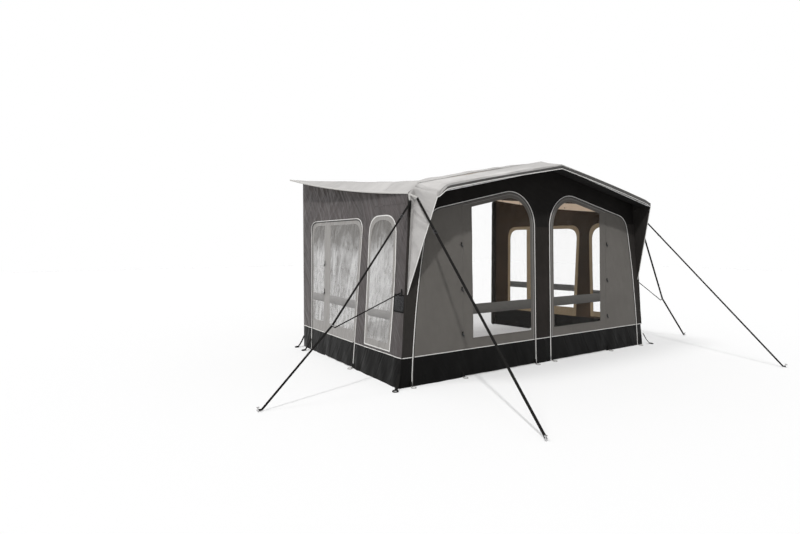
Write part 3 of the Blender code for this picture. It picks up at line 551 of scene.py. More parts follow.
FRONT_DOOR = FrontDoorOutline()
SIDE_DOOR = SideDoorOutline()
FRONT = FrontFace()
SIDE_FACES = {side: SideFace(side) for side in Side}


# ---- Shader groups and finishes ----


class NodeSheet:
    """A node tree with short ways to add and join nodes."""

    def __init__(self, tree: bpy.types.NodeTree) -> None:
        """Work on a tree."""
        self.tree = tree

    def add(self, kind: str, settings: Optional[dict] = None, **sockets) -> bpy.types.Node:
        """Add a node.

        Args:
            kind: The node's type.
            settings: Values of the node's own properties.
            **sockets: Values or links of its inputs, with _ for a space.

        Returns:
            The new node.
        """
        node = self.tree.nodes.new(kind)
        for key, value in (settings or {}).items():
            setattr(node, key, value)
        for key, value in sockets.items():
            self.feed(node.inputs[key.replace("_", " ")], value)
        return node

    def feed(self, socket: bpy.types.NodeSocket, value) -> None:
        """Set a socket's value, or link it when the value is a socket."""
        if isinstance(value, bpy.types.NodeSocket):
            self.tree.links.new(value, socket)
        elif isinstance(value, tuple) and len(value) == 3 and socket.type == "RGBA":
            socket.default_value = (*value, 1.0)
        else:
            socket.default_value = value

    def math(self, operation: str, first, second) -> bpy.types.NodeSocket:
        """Add a maths node and return its output."""
        node = self.add("ShaderNodeMath", {"operation": operation})
        self.feed(node.inputs[0], first)
        self.feed(node.inputs[1], second)
        return node.outputs[0]

    def blend(self, factor, first, second) -> bpy.types.NodeSocket:
        """Mix two colours and return the result."""
        node = self.add("ShaderNodeMix", {"data_type": "RGBA"})
        self.feed(node.inputs[0], factor)
        self.feed(node.inputs[6], first)
        self.feed(node.inputs[7], second)
        return node.outputs[2]

    def spread(self, value, low: float, high: float, to_low: float = 0.0,
               to_high: float = 1.0) -> bpy.types.NodeSocket:
        """Map a range of a value to another range and return it."""
        node = self.add("ShaderNodeMapRange", Value=value, From_Min=low, From_Max=high,
                        To_Min=to_low, To_Max=to_high)
        return node.outputs[0]

    def stretched(self, vector, factors: tuple[float, float, float]) -> bpy.types.NodeSocket:
        """Multiply a vector by one factor on each axis."""
        node = self.add("ShaderNodeVectorMath", {"operation": "MULTIPLY"})
        self.feed(node.inputs[0], vector)
        self.feed(node.inputs[1], factors)
        return node.outputs[0]

    def seen(self) -> bpy.types.NodeSocket:
        """Return 1 for rays from the eye, also by way of gloss or glass."""
        path = self.add("ShaderNodeLightPath")
        direct = self.math("MAXIMUM", path.outputs["Is Camera Ray"],
                           path.outputs["Is Glossy Ray"])
        return self.math("MAXIMUM", direct, path.outputs["Is Transmission Ray"])

    def noise(self, vector, scale, detail: float = 3.0, distortion: float = 0.0):
        """Add a noise texture and return its value."""
        node = self.add("ShaderNodeTexNoise", Vector=vector, Scale=scale, Detail=detail,
                        Distortion=distortion)
        return node.outputs[0]


class Effects:
    """Shader node groups that several finishes share, each built once."""

    made: dict[str, bpy.types.NodeTree] = {}

    @classmethod
    def new_group(cls, name: str, inputs: dict[str, float],
                  outputs: Sequence[str]) -> tuple[NodeSheet, bpy.types.Node, bpy.types.Node]:
        """Start a group with a Vector input and the named values."""
        tree = bpy.data.node_groups.new(name, "ShaderNodeTree")
        face = tree.interface
        face.new_socket("Vector", in_out="INPUT", socket_type="NodeSocketVector")
        for label, value in inputs.items():
            socket = face.new_socket(label, in_out="INPUT", socket_type="NodeSocketFloat")
            socket.default_value = value
        for label in outputs:
            face.new_socket(label, in_out="OUTPUT", socket_type="NodeSocketFloat")
        cls.made[name] = tree
        sheet = NodeSheet(tree)
        return sheet, sheet.add("NodeGroupInput"), sheet.add("NodeGroupOutput")

    @classmethod
    def weave(cls) -> bpy.types.NodeTree:
        """Return the group of crossing threads: their height and their uneven tone."""
        if "thread_weave" in cls.made:
            return cls.made["thread_weave"]
        sheet, given, result = cls.new_group("thread_weave", {"Scale": 190.0},
                                             ("Height", "Tone"))
        vector, scale = given.outputs["Vector"], given.outputs["Scale"]
        waves = [sheet.add("ShaderNodeTexWave", {"bands_direction": way}, Vector=vector,
                           Scale=scale, Distortion=0.6, Detail=1.0).outputs[1]
                 for way in ("X", "Y")]
        height = sheet.math("MULTIPLY", sheet.math("ADD", *waves), 0.5)
        sheet.feed(result.inputs["Height"], height)
        yarn = [sheet.noise(sheet.stretched(vector, way), scale, 1.0)
                for way in ((0.08, 2.0, 1.0), (2.0, 0.08, 1.0))]
        sheet.feed(result.inputs["Tone"], sheet.math("MULTIPLY", sheet.math("ADD", *yarn), 0.5))
        return sheet.tree

    @classmethod
    def creases(cls) -> bpy.types.NodeTree:
        """Return the group of soft creases: ridges drawn out along one direction."""
        if "soft_creases" in cls.made:
            return cls.made["soft_creases"]
        sheet, given, result = cls.new_group("soft_creases", {"Scale": 3.0, "Turn": 0.0},
                                             ("Height", "Fine"))
        turned = sheet.add("ShaderNodeVectorRotate", {"rotation_type": "Z_AXIS"},
                           Vector=given.outputs["Vector"], Angle=given.outputs["Turn"])
        long = sheet.stretched(turned.outputs[0], (0.35, 1.6, 1.0))
        ridge = sheet.noise(long, given.outputs["Scale"], 2.0, 0.6)
        folded = sheet.math("ABSOLUTE", sheet.math("SUBTRACT", ridge, 0.5), 0.0)
        sheet.feed(result.inputs["Height"], sheet.spread(folded, 0.0, 0.22, 1.0, 0.0))
        fine_scale = sheet.math("MULTIPLY", given.outputs["Scale"], 5.0)
        sheet.feed(result.inputs["Fine"], sheet.noise(long, fine_scale, 3.0, 0.8))
        return sheet.tree

    @classmethod
    def mottle(cls) -> bpy.types.NodeTree:
        """Return the group of cloudy tone, as on weathered or back-lit cloth."""
        if "cloudy_tone" in cls.made:
            return cls.made["cloudy_tone"]
        sheet, given, result = cls.new_group("cloudy_tone", {"Scale": 2.0}, ("Tone",))
        vector, scale = given.outputs["Vector"], given.outputs["Scale"]
        broad = sheet.noise(vector, scale, 4.0, 0.4)
        small = sheet.noise(vector, sheet.math("MULTIPLY", scale, 6.0), 3.0, 0.2)
        both = sheet.math("ADD", sheet.math("MULTIPLY", broad, 0.7),
                          sheet.math("MULTIPLY", small, 0.3))
        sheet.feed(result.inputs["Tone"], sheet.spread(both, 0.36, 0.64))
        return sheet.tree

    @classmethod
    def dust(cls) -> bpy.types.NodeTree:
        """Return the group of pale dust that gathers near the ground."""
        if "ground_dust" in cls.made:
            return cls.made["ground_dust"]
        sheet, given, result = cls.new_group("ground_dust", {"Top": 0.25}, ("Mask",))
        split = sheet.add("ShaderNodeSeparateXYZ", Vector=given.outputs["Vector"])
        height = sheet.math("DIVIDE", split.outputs[2], given.outputs["Top"])
        low = sheet.spread(height, 0.0, 1.0, 1.0, 0.0)
        patch = sheet.spread(sheet.noise(given.outputs["Vector"], 9.0, 5.0, 0.5), 0.38, 0.68)
        sheet.feed(result.inputs["Mask"], sheet.math("MULTIPLY", low, patch))
        return sheet.tree


class Finish:
    """A finish that gives one material, made when it is first asked for."""

    made: dict[str, bpy.types.Material] = {}
    name: str

    def material(self) -> bpy.types.Material:
        """Return the finish's material."""
        if self.name not in Finish.made:
            mat = bpy.data.materials.new(self.name)
            mat.use_nodes = True
            sheet = NodeSheet(mat.node_tree)
            self.paint(mat, sheet, mat.node_tree.nodes["Principled BSDF"])
            Finish.made[self.name] = mat
        return Finish.made[self.name]

    def paint(self, mat: bpy.types.Material, sheet: NodeSheet,
              shader: bpy.types.Node) -> None:
        """Lay the finish's nodes on a new material."""
        raise NotImplementedError

    @staticmethod
    def group(sheet: NodeSheet, tree: bpy.types.NodeTree, vector, **values) -> bpy.types.Node:
        """Place a shared group in the material."""
        node = sheet.add("ShaderNodeGroup", {"node_tree": tree})
        sheet.feed(node.inputs["Vector"], vector)
        for label, value in values.items():
            sheet.feed(node.inputs[label], value)
        return node


@dataclass(frozen=True)
class Cloth(Finish):
    """Coated woven cloth: threads, creases, cloudy tone, dust near the ground, painted shade in its creases
    and a painted glow.
    """

    name: str
    colour: Colour
    shade: Colour
    roughness: float = 0.72
    cloud: float = 2.2
    crease: float = 0.004
    crease_scale: float = 3.0
    crease_turn: float = 1.2
    weave: float = 150.0
    dust: Colour = (0.20, 0.185, 0.165)
    dust_top: float = 0.22
    dust_share: float = 0.0
    gloss: float = 0.20
    sheen: float = 0.05
    glow: float = 0.0
    fold: float = 0.0

    def paint(self, mat: bpy.types.Material, sheet: NodeSheet, shader: bpy.types.Node) -> None:
        """Lay the cloth's nodes on a new material."""
        flat = sheet.add("ShaderNodeUVMap", {"uv_map": CLOTH_UV}).outputs[0]
        place = sheet.add("ShaderNodeTexCoord").outputs["Object"]
        weave = self.group(sheet, Effects.weave(), flat, Scale=self.weave)
        creases = self.group(sheet, Effects.creases(), flat, Scale=self.crease_scale,
                             Turn=self.crease_turn)
        cloud = self.group(sheet, Effects.mottle(), place, Scale=self.cloud)
        tone = sheet.math("MULTIPLY", cloud.outputs["Tone"], 0.75)
        tone = sheet.math("ADD", tone, sheet.math("MULTIPLY", weave.outputs["Tone"], 0.25))
        # fold paints shade: the colour darkens towards the shade colour along the creases.
        if self.fold:
            folds = sheet.math("MULTIPLY", creases.outputs["Height"], self.fold)
            tone = sheet.math("SUBTRACT", tone, folds)
        colour = sheet.blend(tone, self.shade, self.colour)
        if self.dust_share:
            dust = self.group(sheet, Effects.dust(), place, Top=self.dust_top)
            mask = sheet.math("MULTIPLY", dust.outputs["Mask"], self.dust_share)
            colour = sheet.blend(mask, colour, self.dust)
        sheet.feed(shader.inputs["Base Color"], colour)
        # glow: painted light, the colour shown to the eye as if lit from behind.
        if self.glow:
            sheet.feed(shader.inputs["Emission Color"], colour)
            sheet.feed(shader.inputs["Emission Strength"],
                       sheet.math("MULTIPLY", sheet.seen(), self.glow))
        rough = sheet.spread(creases.outputs["Fine"], 0.3, 0.7, self.roughness - 0.08,
                             self.roughness + 0.08)
        sheet.feed(shader.inputs["Roughness"], rough)
        shader.inputs["Sheen Weight"].default_value = self.sheen
        shader.inputs["Specular IOR Level"].default_value = self.gloss
        relief = sheet.math("ADD", creases.outputs["Height"],
                            sheet.math("MULTIPLY", creases.outputs["Fine"], 0.5))
        wide = sheet.add("ShaderNodeBump", Strength=0.55, Distance=self.crease, Height=relief)
        fine = sheet.add("ShaderNodeBump", Strength=0.25, Distance=0.0003,
                         Height=weave.outputs["Height"], Normal=wide.outputs[0])
        sheet.feed(shader.inputs["Normal"], fine.outputs[0])
        mat.diffuse_color = (*self.colour, 1.0)


@dataclass(frozen=True)
class Vinyl(Finish):
    """Clear or frosted sheet: see-through, creased, brighter at a low angle, with a painted glow where one
    is set.
    """

    name: str
    colour: Colour
    clear: float
    veiled: float
    roughness: float = 0.06
    crease: float = 0.006
    crease_scale: float = 5.0
    crease_turn: float = 1.35
    streak: float = 0.10
    smoke: float = 0.0
    smoke_top: float = 0.0
    one_way: bool = False
    gloss: float = 0.6
    glow: float = 0.0

    def paint(self, mat: bpy.types.Material, sheet: NodeSheet, shader: bpy.types.Node) -> None:
        """Lay the vinyl's nodes on a new material."""
        flat = sheet.add("ShaderNodeUVMap", {"uv_map": CLOTH_UV}).outputs[0]
        creases = self.group(sheet, Effects.creases(), flat, Scale=self.crease_scale,
                             Turn=self.crease_turn)
        relief = sheet.math("ADD", creases.outputs["Height"],
                            sheet.math("MULTIPLY", creases.outputs["Fine"], 0.8))
        bump = sheet.add("ShaderNodeBump", Strength=0.8, Distance=self.crease, Height=relief)
        sheet.feed(shader.inputs["Normal"], bump.outputs[0])
        facing = sheet.add("ShaderNodeLayerWeight", Blend=0.35, Normal=bump.outputs[0])
        veil = sheet.spread(facing.outputs["Facing"], 0.05, 0.75, self.clear, self.veiled)
        marks = sheet.spread(creases.outputs["Fine"], 0.52, 0.74, 0.0, self.streak)
        veil = sheet.math("ADD", veil, marks)
        if self.smoke:
            cloud = self.group(sheet, Effects.mottle(), flat, Scale=1.3).outputs["Tone"]
            folds = sheet.math("MULTIPLY", creases.outputs["Height"], cloud)
            veil = sheet.math("ADD", veil, sheet.math("MULTIPLY", folds, self.smoke))
        if self.smoke_top:
            place = sheet.add("ShaderNodeTexCoord").outputs["Object"]
            height = sheet.add("ShaderNodeSeparateXYZ", Vector=place).outputs[2]
            veil = sheet.math("ADD", veil, sheet.spread(height, 1.40, 1.76, 0.0,
                                                        self.smoke_top))
        if self.one_way:
            back = sheet.add("ShaderNodeNewGeometry").outputs["Backfacing"]
            veil = sheet.math("MULTIPLY", veil, sheet.spread(back, 0.0, 1.0, 1.0, 0.03))
        sheet.feed(shader.inputs["Alpha"], veil)
        haze = sheet.blend(creases.outputs["Fine"], tuple(c * 0.86 for c in self.colour),
                           self.colour)
        sheet.feed(shader.inputs["Base Color"], haze)
        sheet.feed(shader.inputs["Roughness"],
                   sheet.spread(creases.outputs["Fine"], 0.3, 0.7, self.roughness,
                                self.roughness + 0.10))
        shader.inputs["Specular IOR Level"].default_value = self.gloss
        # glow: painted light, shown to the eye only.
        if self.glow:
            sheet.feed(shader.inputs["Emission Color"], haze)
            sheet.feed(shader.inputs["Emission Strength"],
                       sheet.math("MULTIPLY", sheet.seen(), self.glow))
        mat.diffuse_color = (*self.colour, self.veiled)


@dataclass(frozen=True)
class Moulded(Finish):
    """Moulded plastic or rubber: a fine grain, with scuffs that catch the light."""

    name: str
    colour: Colour
    scuff: Colour
    roughness: float = 0.42
    grain: float = 900.0

    def paint(self, mat: bpy.types.Material, sheet: NodeSheet, shader: bpy.types.Node) -> None:
        """Lay the plastic's nodes on a new material."""
        place = sheet.add("ShaderNodeTexCoord").outputs["Object"]
        grain = sheet.noise(place, self.grain, 2.0)
        scuffs = sheet.spread(sheet.noise(place, 60.0, 6.0, 1.5), 0.60, 0.75, 0.0, 0.6)
        sheet.feed(shader.inputs["Base Color"], sheet.blend(scuffs, self.colour, self.scuff))
        sheet.feed(shader.inputs["Roughness"],
                   sheet.spread(grain, 0.3, 0.7, self.roughness - 0.06, self.roughness + 0.1))
        bump = sheet.add("ShaderNodeBump", Strength=0.3, Distance=0.0002, Height=grain)
        sheet.feed(shader.inputs["Normal"], bump.outputs[0])
        mat.diffuse_color = (*self.colour, 1.0)


@dataclass(frozen=True)
class Metal(Finish):
    """Plated steel or alloy: drawn marks along Z and duller patches."""

    name: str
    colour: Colour
    dull: Colour
    roughness: float = 0.30

    def paint(self, mat: bpy.types.Material, sheet: NodeSheet, shader: bpy.types.Node) -> None:
        """Lay the metal's nodes on a new material."""
        place = sheet.add("ShaderNodeTexCoord").outputs["Object"]
        drawn = sheet.noise(sheet.stretched(place, (14.0, 14.0, 0.6)), 60.0, 3.0)
        patch = sheet.spread(sheet.noise(place, 22.0, 5.0, 0.8), 0.42, 0.70)
        sheet.feed(shader.inputs["Base Color"], sheet.blend(patch, self.colour, self.dull))
        shader.inputs["Metallic"].default_value = 1.0
        rough = sheet.math("ADD", sheet.math("MULTIPLY", drawn, 0.2),
                           sheet.math("MULTIPLY", patch, 0.15))
        sheet.feed(shader.inputs["Roughness"], sheet.math("ADD", rough, self.roughness - 0.1))
        bump = sheet.add("ShaderNodeBump", Strength=0.2, Distance=0.0002, Height=drawn)
        sheet.feed(shader.inputs["Normal"], bump.outputs[0])
        mat.diffuse_color = (*self.colour, 1.0)


@dataclass(frozen=True)
class Ribbed(Finish):
    """Narrow goods with ribs across their length: webbing, zip coil, cord or tape."""

    name: str
    colour: Colour
    shade: Colour
    pitch: float
    height: float
    roughness: float = 0.70
    metallic: float = 0.0
    across: bool = False
    gloss: float = 0.5

    def paint(self, mat: bpy.types.Material, sheet: NodeSheet, shader: bpy.types.Node) -> None:
        """Lay the ribs on a new material, counted along the piece's own map."""
        flat = sheet.add("ShaderNodeUVMap", {"uv_map": CLOTH_UV}).outputs[0]
        wave_period = math.tau / 20
        ribs = sheet.add("ShaderNodeTexWave", {"bands_direction": "X" if self.across else "Y"},
                         Vector=flat, Scale=wave_period / self.pitch).outputs[1]
        cross = sheet.add("ShaderNodeTexWave", {"bands_direction": "DIAGONAL"}, Vector=flat,
                          Scale=wave_period / self.pitch * 0.7).outputs[1]
        wear = sheet.noise(flat, 14.0, 4.0)
        # Painted shade: the colour follows the ribs, darker in the grooves between them, mixed with random
        # wear.
        tone = sheet.math("ADD", sheet.math("MULTIPLY", ribs, 0.5),
                          sheet.math("MULTIPLY", wear, 0.6))
        sheet.feed(shader.inputs["Base Color"], sheet.blend(tone, self.shade, self.colour))
        relief = sheet.math("ADD", ribs, sheet.math("MULTIPLY", cross, 0.4))
        bump = sheet.add("ShaderNodeBump", Strength=0.5, Distance=self.height, Height=relief)
        sheet.feed(shader.inputs["Normal"], bump.outputs[0])
        sheet.feed(shader.inputs["Roughness"],
                   sheet.spread(wear, 0.3, 0.7, self.roughness - 0.08, self.roughness + 0.08))
        shader.inputs["Metallic"].default_value = self.metallic
        shader.inputs["Specular IOR Level"].default_value = self.gloss
        mat.diffuse_color = (*self.colour, 1.0)


@dataclass(frozen=True)
class Net(Finish):
    """Open mesh cloth, see-through between its threads."""

    name: str
    colour: Colour
    pitch: float = 0.004

    def paint(self, mat: bpy.types.Material, sheet: NodeSheet, shader: bpy.types.Node) -> None:
        """Lay the net's threads on a new material."""
        flat = sheet.add("ShaderNodeUVMap", {"uv_map": CLOTH_UV}).outputs[0]
        scale = math.tau / 20 / self.pitch
        lines = [sheet.add("ShaderNodeTexWave", {"bands_direction": way}, Vector=flat,
                           Scale=scale).outputs[1] for way in ("X", "Y")]
        thread = sheet.math("MAXIMUM", *lines)
        sheet.feed(shader.inputs["Alpha"], sheet.spread(thread, 0.55, 0.75, 0.35, 1.0))
        sheet.feed(shader.inputs["Base Color"],
                   sheet.blend(sheet.noise(flat, 30.0), self.colour,
                               tuple(c * 2.2 for c in self.colour)))
        shader.inputs["Roughness"].default_value = 0.8
        bump = sheet.add("ShaderNodeBump", Strength=0.6, Distance=0.0006, Height=thread)
        sheet.feed(shader.inputs["Normal"], bump.outputs[0])
        mat.diffuse_color = (*self.colour, 1.0)


class Finishes:
    """The awning's finishes by the names that its makers would use."""

    # Roof cloth; fold paints shade into its creases.
    roof = Cloth("roof_cloth", (0.510, 0.497, 0.486), (0.385, 0.375, 0.366), 0.66, 1.1,
                 0.034, 1.5, 0.14, fold=0.45)
    # Painted light: the roof's own cloth, made lighter because the visor's slope faces the light; fold
    # paints shade into its creases.
    visor = Cloth("visor_lit_cloth", (0.640, 0.625, 0.610), (0.420, 0.409, 0.399), 0.66, 1.1,
                  0.030, 2.0, 0.14, fold=0.45)
    # Painted shade: a tape of the roof's own cloth, coloured darker for the shade in the hollow at the crest
    # seam.
    roof_seam_shade = Cloth("roof_seam_shade_tape", (0.300, 0.292, 0.283), (0.230, 0.224, 0.217))
    # Painted light: the roof cloth's inner face, tinted beige and glowing for the camera, for daylight
    # shining through the cloth.
    roof_inside_glow = Cloth("roof_inside_glow_cloth", (0.500, 0.395, 0.300), (0.380, 0.295, 0.220), 0.8,
                        1.5, glow=0.72)
    # Painted shade: dark cloth for the visor's front edge, where the skin's light cloth curves under into
    # shade.
    fascia = Cloth("fascia_shade_cloth", (0.100, 0.097, 0.094), (0.070, 0.068, 0.066), 0.7, 3.0,
                   gloss=0.10)
    lining = Cloth("visor_lining_cloth", (0.026, 0.025, 0.024), (0.018, 0.017, 0.017), 0.85, 3.0,
                   gloss=0.08, sheen=0.0)
    # Painted shade: the post's own cloth, made darker for the visor's shade over the gable.
    gable = Cloth("gable_shaded_cloth", (0.0130, 0.0120, 0.0112), (0.0090, 0.0083, 0.0078), 0.85, 3.0,
                  0.003, 2.4, 0.3, gloss=0.08, sheen=0.0)
    # Wall cloth; fold paints shade into its creases, and dust_share is dust near the ground.
    wall = Cloth("wall_cloth", (0.073, 0.061, 0.0605), (0.040, 0.0335, 0.0330), 0.55, 2.6,
                 0.024, 3.6, 2.2, dust_share=0.05, gloss=0.38, fold=0.30)
    # Painted light: the walls' inner faces glow for the camera, for daylight shining through the cloth.
    inside = Cloth("inside_glow_cloth", (0.043, 0.027, 0.0165), (0.016, 0.010, 0.0060), 0.85, 1.3,
                   gloss=0.05, sheen=0.0, glow=0.40)
    post = Cloth("post_cloth", (0.030, 0.026, 0.0235), (0.018, 0.0155, 0.014), 0.85, 1.6,
                 gloss=0.08, sheen=0.0)
    corner = Cloth("corner_cloth", (0.034, 0.031, 0.029), (0.026, 0.024, 0.022), 0.85, 3.0,
                   gloss=0.08, sheen=0.0)
    door = Cloth("door_cloth", (0.130, 0.122, 0.112), (0.112, 0.105, 0.096), 0.78, 2.0,
                 0.004, 2.2, 1.3, gloss=0.15)
    skirt = Cloth("skirt_vinyl", (0.0050, 0.0048, 0.0046), (0.0026, 0.0025, 0.0024), 0.36, 4.0,
                  0.008, 3.0, 1.1, 220.0, gloss=0.06, sheen=0.0)
    clear = Vinyl("clear_vinyl", (0.36, 0.35, 0.33), 0.01, 0.05, streak=0.015, crease=0.003,
                  gloss=0.2)
    side_clear = Vinyl("side_clear_vinyl", (0.105, 0.097, 0.088), 0.40, 0.60, streak=0.26,
                       crease=0.011, crease_scale=4.2, crease_turn=1.38, smoke=0.45,
                       smoke_top=0.42, one_way=True, gloss=0.7)
    # Painted light: the panes' inner faces, pale where the outer faces are dark, for daylight seen through
    # them from inside.
    side_clear_inside_lit = Vinyl("side_clear_vinyl_inside_lit", (0.60, 0.58, 0.55), 0.01, 0.06,
                              streak=0.02, crease=0.004, crease_scale=4.2, crease_turn=1.38,
                              one_way=True, gloss=0.2)
    frosted = Vinyl("frosted_vinyl", (0.290, 0.280, 0.270), 0.86, 0.94, 0.38, streak=0.05,
                    gloss=0.4)
    # Painted light: the frosted borders' inner faces, tinted beige and glowing for the camera, for daylight
    # shining through them.
    frosted_inside_glow = Vinyl("frosted_vinyl_inside_glow", (0.225, 0.165, 0.095), 0.90, 0.96, 0.5,
                           streak=0.03, gloss=0.2, glow=0.42)
    band = Vinyl("window_band_vinyl", (0.088, 0.084, 0.078), 0.97, 0.99, 0.5, streak=0.02,
                 gloss=0.2)
    side_band = Vinyl("side_band_vinyl", (0.270, 0.262, 0.255), 0.80, 0.90, 0.4, streak=0.05,
                      gloss=0.4)
    piping = Ribbed("welded_piping", (0.74, 0.73, 0.71), (0.62, 0.61, 0.59), 0.006, 0.0002, 0.5)
    dim_piping = Ribbed("dim_piping", (0.22, 0.215, 0.21), (0.16, 0.157, 0.152), 0.006, 0.0002)
    tape = Ribbed("zip_tape", (0.034, 0.032, 0.030), (0.022, 0.021, 0.019), 0.0016, 0.0002)
    coil = Ribbed("zip_coil", (0.040, 0.039, 0.038), (0.012, 0.012, 0.012), 0.0026, 0.0012, 0.4)
    webbing = Ribbed("guy_webbing", (0.011, 0.0105, 0.010), (0.005, 0.0048, 0.0045), 0.0022,
                     0.0004, 0.85, gloss=0.10)
    light_tape = Ribbed("light_tape", (0.58, 0.57, 0.55), (0.44, 0.43, 0.41), 0.003, 0.0003)
    elastic = Ribbed("ring_elastic", (0.50, 0.49, 0.47), (0.28, 0.27, 0.26), 0.002, 0.0003)
    sleeve = Cloth("beam_sleeve_cloth", (0.060, 0.045, 0.034), (0.045, 0.034, 0.026), 0.8, 5.0,
                   0.003, 6.0, 1.5)
    pad = Cloth("pad_cover_cloth", (0.040, 0.036, 0.032), (0.028, 0.025, 0.022), 0.9, 8.0,
                0.003, 9.0, 0.4)
    net = Net("pocket_net", (0.012, 0.012, 0.013))
    plastic = Moulded("black_plastic", (0.012, 0.012, 0.013), (0.040, 0.040, 0.040))
    steel = Metal("plated_steel", (0.56, 0.56, 0.57), (0.34, 0.33, 0.32))
    alloy = Metal("slider_alloy", (0.30, 0.30, 0.31), (0.16, 0.16, 0.16), 0.35)


# ---- Making pieces ----


def face_outwards(work: bmesh.types.BMesh) -> None:
    """Turn every face of a closed mesh outwards, also on a thin sheet."""
    bmesh.ops.recalc_face_normals(work, faces=work.faces)
    if work.calc_volume(signed=True) < 0:
        bmesh.ops.reverse_faces(work, faces=work.faces)


def finished(name: str, work: bmesh.types.BMesh, finishes: Sequence[Finish],
             sharp: float = 38.0) -> bpy.types.Object:
    """Turn a bmesh into an object at the origin with smooth faces.

    Args:
        name: The piece's name.
        work: The mesh, which is freed.
        finishes: Its finishes, in the order of its material numbers.
        sharp: The angle in degrees past which an edge stays sharp.

    Returns:
        The new object.
    """
    mesh = bpy.data.meshes.new(name)
    work.to_mesh(mesh)
    work.free()
    for finish in finishes:
        mesh.materials.append(finish.material())
    mesh.shade_smooth()
    mesh.set_sharp_from_angle(angle=math.radians(sharp))
    obj = bpy.data.objects.new(name, mesh)
    bpy.context.scene.collection.objects.link(obj)
    return obj


def fit(obj: bpy.types.Object, body: str, slot: Slot, *nodes: str) -> bpy.types.Object:
    """Let a piece ride on a body and hide the solids it stands for."""
    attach(obj, body)
    if nodes:
        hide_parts(*nodes)
    LOG.info("%s on %s%s", obj.name, body, " for " + ", ".join(nodes) if nodes else "")
    return obj


def map_from_flat(work: bmesh.types.BMesh) -> None:
    """Give the mesh a UV map of its flat cut, in metres."""
    layer = work.loops.layers.uv.new(CLOTH_UV)
    for face in work.faces:
        for corner in face.loops:
            corner[layer].uv = corner.vert.co.xy


@dataclass
class ClothCut:
    """A flat cut of sheet with openings, laid on a face of the awning."""

    name: str
    loops: list[Loop]
    place: Place
    finishes: tuple[Finish, ...]
    thickness: float = 0.0022
    cell: float = 0.034
    inset: float = 0.0006
    lower_below: Optional[float] = None
    flat: Optional[Point] = None
    lining: Optional[Finish] = None

    def area(self) -> float:
        """Return the cut's flat area without its openings."""
        return loop_area(self.loops[0]) - sum(loop_area(loop) for loop in self.loops[1:])

    def size(self) -> Point:
        """Return the width and length that the cut is taken from."""
        if self.flat:
            return self.flat
        spans = [[point[axis] for point in self.loops[0]] for axis in (0, 1)]
        return tuple(max(values) - min(values) for values in spans)

    def flat_mesh(self) -> bmesh.types.BMesh:
        """Fill the outline and divide it into cells that can bend."""
        curve = bpy.data.curves.new(self.name, "CURVE")
        curve.dimensions = "2D"
        curve.fill_mode = "BOTH"
        for loop in self.loops:
            line = curve.splines.new("POLY")
            line.points.add(len(loop) - 1)
            for knot, (along, up) in zip(line.points, loop):
                knot.co = (along, up, 0.0, 1.0)
            line.use_cyclic_u = True
        holder = bpy.data.objects.new(self.name, curve)
        mesh = bpy.data.meshes.new_from_object(holder)
        bpy.data.objects.remove(holder)
        bpy.data.curves.remove(curve)
        work = bmesh.new()
        work.from_mesh(mesh)
        bpy.data.meshes.remove(mesh)
        bmesh.ops.remove_doubles(work, verts=work.verts, dist=TINY)
        for axis in (0, 1):
            values = [vert.co[axis] for vert in work.verts]
            low, high = min(values), max(values)
            count = max(1, round((high - low) / self.cell))
            cuts = [low + (high - low) * index / count for index in range(1, count)]
            if axis and self.lower_below:
                cuts.append(self.lower_below)
            for value in cuts:
                point, normal = [0.0, 0.0, 0.0], [0.0, 0.0, 0.0]
                point[axis], normal[axis] = value, 1.0
                everything = list(work.verts) + list(work.edges) + list(work.faces)
                bmesh.ops.bisect_plane(work, geom=everything, dist=TINY, plane_co=point,
                                       plane_no=normal)
        if sum(face.normal.z for face in work.faces) < 0:
            bmesh.ops.reverse_faces(work, faces=work.faces)
        return work

    def build(self) -> bpy.types.Object:
        """Lay the cut on its face and give it thickness.

        Returns:
            The piece, not riding on anything yet.
        """
        work = self.flat_mesh()
        if self.lower_below:
            for face in work.faces:
                face.material_index = int(face.calc_center_median().y < self.lower_below)
        made = bmesh.ops.extrude_face_region(work, geom=list(work.faces))
        back = [item for item in made["geom"] if isinstance(item, bmesh.types.BMVert)]
        bmesh.ops.translate(work, verts=back, vec=(0.0, 0.0, -self.thickness))
        finishes = list(self.finishes)
        if self.lining:
            finishes.append(self.lining)
            for item in made["geom"]:
                if isinstance(item, bmesh.types.BMFace) and item.material_index == 0:
                    item.material_index = len(self.finishes)
        map_from_flat(work)
        for vert in work.verts:
            vert.co = self.place(vert.co.x, vert.co.y, self.inset - vert.co.z)
        face_outwards(work)
        return finished(self.name, work, finishes)

    def sewn(self, body: str, slot: Slot, *nodes: str, held: str = "stretched",
             with_pieces: Sequence[bpy.types.Object] = ()) -> bpy.types.Object:
        obj = fit(self.build(), body, slot, *nodes)
        return obj


def round_profile(radius: float, sides: int = 8, lift: float = 0.0) -> Loop:
    """Return a round cross-section as (across, outward)."""
    return [(radius * math.cos(math.tau * index / sides),
             lift + radius * math.sin(math.tau * index / sides)) for index in range(sides)]


def flat_profile(width: float, thickness: float, lift: float = 0.0,
                 shift: float = 0.0) -> Loop:
    """Return a flat cross-section with soft edges as (across, outward)."""
    half, edge = width / 2, min(width, thickness) / 2
    points = [(-half, edge), (-half + edge, 0.0), (half - edge, 0.0), (half, edge),
              (half - edge, 2 * edge), (-half + edge, 2 * edge)]
    return [(x + shift, y + lift) for x, y in points]


